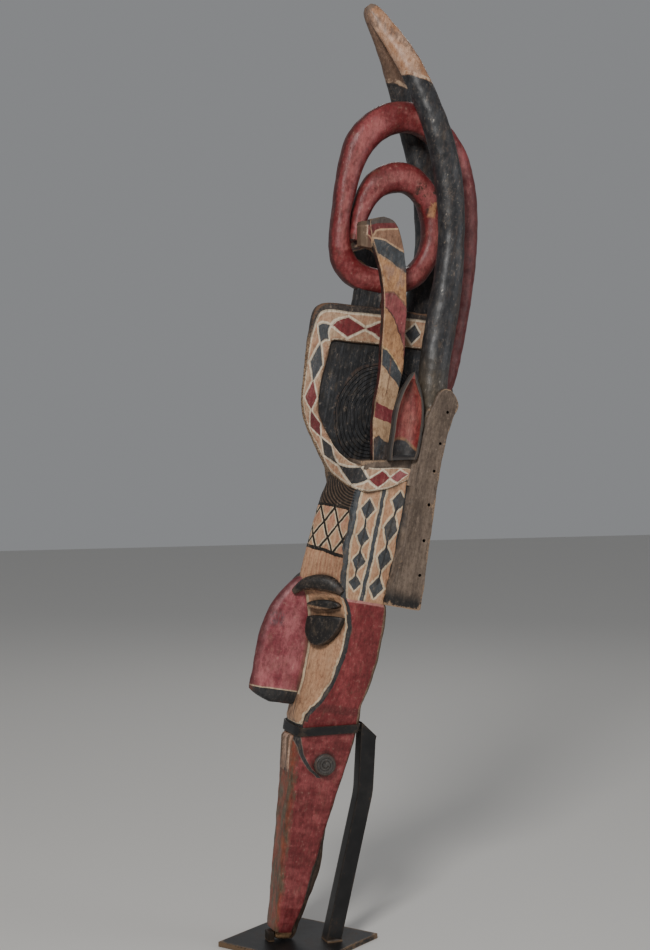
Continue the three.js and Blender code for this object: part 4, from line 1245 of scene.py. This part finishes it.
# Post: angle iron welded to the plate, leaned back, bent once and cut off at a slant behind the strap.
# Beads of weld sit at its foot and at the lug.
POST_FOOT = 8.3
POST_TOP = 352
POST_BEND = 240
POST_LINE = [(POST_FOOT, 33.5), (234, 85.1), (246, 86.8), (POST_TOP, 92.5)]
POST_LEG = 25
POST_THICK = 3
POST_CUT = 24
POST_CUT_FROM = 322
POST_NEAR_Y = -38
# Rows of: x, y, z, size in the plane of its bend, size across
FOOT_WELD = [(34, -41, 8.5, 7, 5), (42, -41.5, 9, 8, 6), (50, -40.5, 8.6, 9, 5), (59, -40, 8.4, 6, 4)]
TOP_WELD = [(90, -34, 337.5, 5, 4), (92, -32, 342, 8, 6), (92, -31, 347, 7, 6), (90, -33, 350.5, 5, 4)]
LUG_WELD = [(55, -36, 340, 7, 7), (60, -35.5, 344, 10, 9), (66, -34.5, 343, 8, 8), (71, -34, 341, 4, 4)]


def weld(name, rows):
    return limb(name, rows, 1.2, 12, steel, put=upright)


heights = np.unique(np.concatenate([np.arange(POST_FOOT, POST_TOP, 5), [POST_TOP, POST_BEND]]))
corners = []
for height in heights:
    x = np.interp(height, [z for z, _ in POST_LINE], [x for _, x in POST_LINE])
    fall = POST_CUT * max(0, (height - POST_CUT_FROM) / (POST_TOP - POST_CUT_FROM)) / POST_LEG
    angle_points = [(0, 0), (POST_LEG, 0), (POST_LEG, POST_THICK),
                    (POST_THICK, POST_THICK), (POST_THICK, POST_LEG), (0, POST_LEG)]
    corners.append([(x + a, POST_NEAR_Y + b, height - fall * a) for a, b in angle_points])
angle_iron = bar("angle iron", corners, heights, [6, 1, 6, 6, 1, 6], STEEL_WEAR, steel, put=upright)
post = joined("angle_iron_post", angle_iron, [weld("foot weld", FOOT_WELD), weld("lug weld", TOP_WELD)])
dressed(post, "post")

# Strap: a flat steel band bent round the root of the jaw, with the lug that is welded to the post. The
# band stands a hair off the wood all round.
STRAP_LOW = 336
STRAP_TALL = 14
STRAP_THICK = 3
STRAP_GAP = 0.35
LUG = ((58, -33, 337), (91, -16, 349))


def girth(height, far):
    """The head's outline on a level, set out from the wood, one point for each line down the head."""
    rings = [[[c * 1000 for c in leaned(*point)] for point in rounded(section, HEAD_STEPS, HEAD_WEAR)[0]]
             for section in head_sections[8:]]
    outline = np.array([[np.interp(height, column[:, 2], column[:, axis]) for axis in (0, 1)]
                        for column in np.array(rings).transpose(1, 0, 2)])
    way = np.roll(outline, -1, axis=0) - np.roll(outline, 1, axis=0)
    way /= np.linalg.norm(way, axis=1)[:, None]
    side = np.column_stack([way[:, 1], -way[:, 0]])
    outward = np.sign(((outline - outline.mean(axis=0)) * side).sum())
    return [(*point, height) for point in outline + side * outward * far]


inside, outside = STRAP_GAP, STRAP_GAP + STRAP_THICK
strap_top = STRAP_LOW + STRAP_TALL
edges = [girth(STRAP_LOW, inside), girth(STRAP_LOW, outside),
         girth(strap_top, outside), girth(strap_top, inside)]
corners = list(zip(*edges))
band = bar("strap band", corners, range(len(corners)), [1, 4, 1, 4], STEEL_WEAR, steel, True, upright)
strap = joined("steel_strap", band, [block_bar("lug", *LUG, STEEL_WEAR), weld("weld blob", LUG_WELD)])
dressed(strap, "strap")

# Jaw rest: a small steel block on the plate under the front of the jaw's tip, which steadies the
# carving.
rest_block = block_bar("rest block", (-52.5, -10, POST_FOOT), (-42.5, 10, 24.3), STEEL_WEAR)
dressed(joined("steel_jaw_rest", rest_block, []), "jaw_rest")

# Studio: a plain pale floor, soft lights, and the camera at the photograph's place. None of it belongs to
# the mask.
FLOOR_HALF = 8
floor_paint = Finish("pale floor", upright=True)
floor_paint.surface({"Base Color": paint(214, 212, 208), "Roughness": 0.8})
floor_mesh = bpy.data.meshes.new("floor")
floor_corners = [(x * FLOOR_HALF, y * FLOOR_HALF, 0) for x, y in ((-1, -1), (1, -1), (1, 1), (-1, 1))]
floor_mesh.from_pydata(floor_corners, [], [(0, 1, 2, 3)])
floor_mesh.materials.append(floor_paint.material)
floor = bpy.data.objects.new("floor", floor_mesh)
bpy.context.scene.collection.objects.link(floor)

# Rows of: name, place, what it is aimed at, width, power, colour
LIGHTS = [
    ("key light", (-1.5, -2.5, 2.5), (0.05, 0, 0.8), 0.8, 80, (1.0, 0.98, 0.95)),
    ("fill light", (2.6, -1.9, 1.5), (0.05, 0, 0.7), 1.8, 18, (0.95, 0.97, 1.0)),
    ("rim light", (1.2, 2.4, 2.6), (0.05, 0, 0.9), 1.4, 12, (1.0, 0.98, 0.95)),
]


def aimed(name, data, place, ahead):
    """A lamp or camera at a place, looking ahead."""
    stood = bpy.data.objects.new(name, data)
    stood.location = place
    stood.rotation_euler = Vector(ahead).to_track_quat("-Z", "Y").to_euler()
    bpy.context.scene.collection.objects.link(stood)
    return stood


for name, place, target, wide, power, colour in LIGHTS:
    lamp = bpy.data.lights.new(name, "AREA")
    lamp.shape = "DISK"
    lamp.size = wide
    lamp.energy = power
    lamp.color = colour
    aimed(name, lamp, place, Vector(target) - Vector(place))
world = bpy.data.worlds.new("studio")
world.use_nodes = True
world.node_tree.nodes["Background"].inputs["Color"].default_value = (0.9, 0.92, 0.95, 1)
world.node_tree.nodes["Background"].inputs["Strength"].default_value = 0.27
bpy.context.scene.world = world

EYE_PLACE = (-0.8052, -2.5385, 0.8331)
EYE_TURN = math.radians(18.5)
EYE_DROP = math.radians(2)
lens = bpy.data.cameras.new("camera")
lens.sensor_fit = "VERTICAL"
lens.sensor_height = 36
lens.lens = 64.42
level = math.cos(EYE_DROP)
ahead = (math.sin(EYE_TURN) * level, math.cos(EYE_TURN) * level, -math.sin(EYE_DROP))
bpy.context.scene.camera = aimed("camera", lens, EYE_PLACE, ahead)
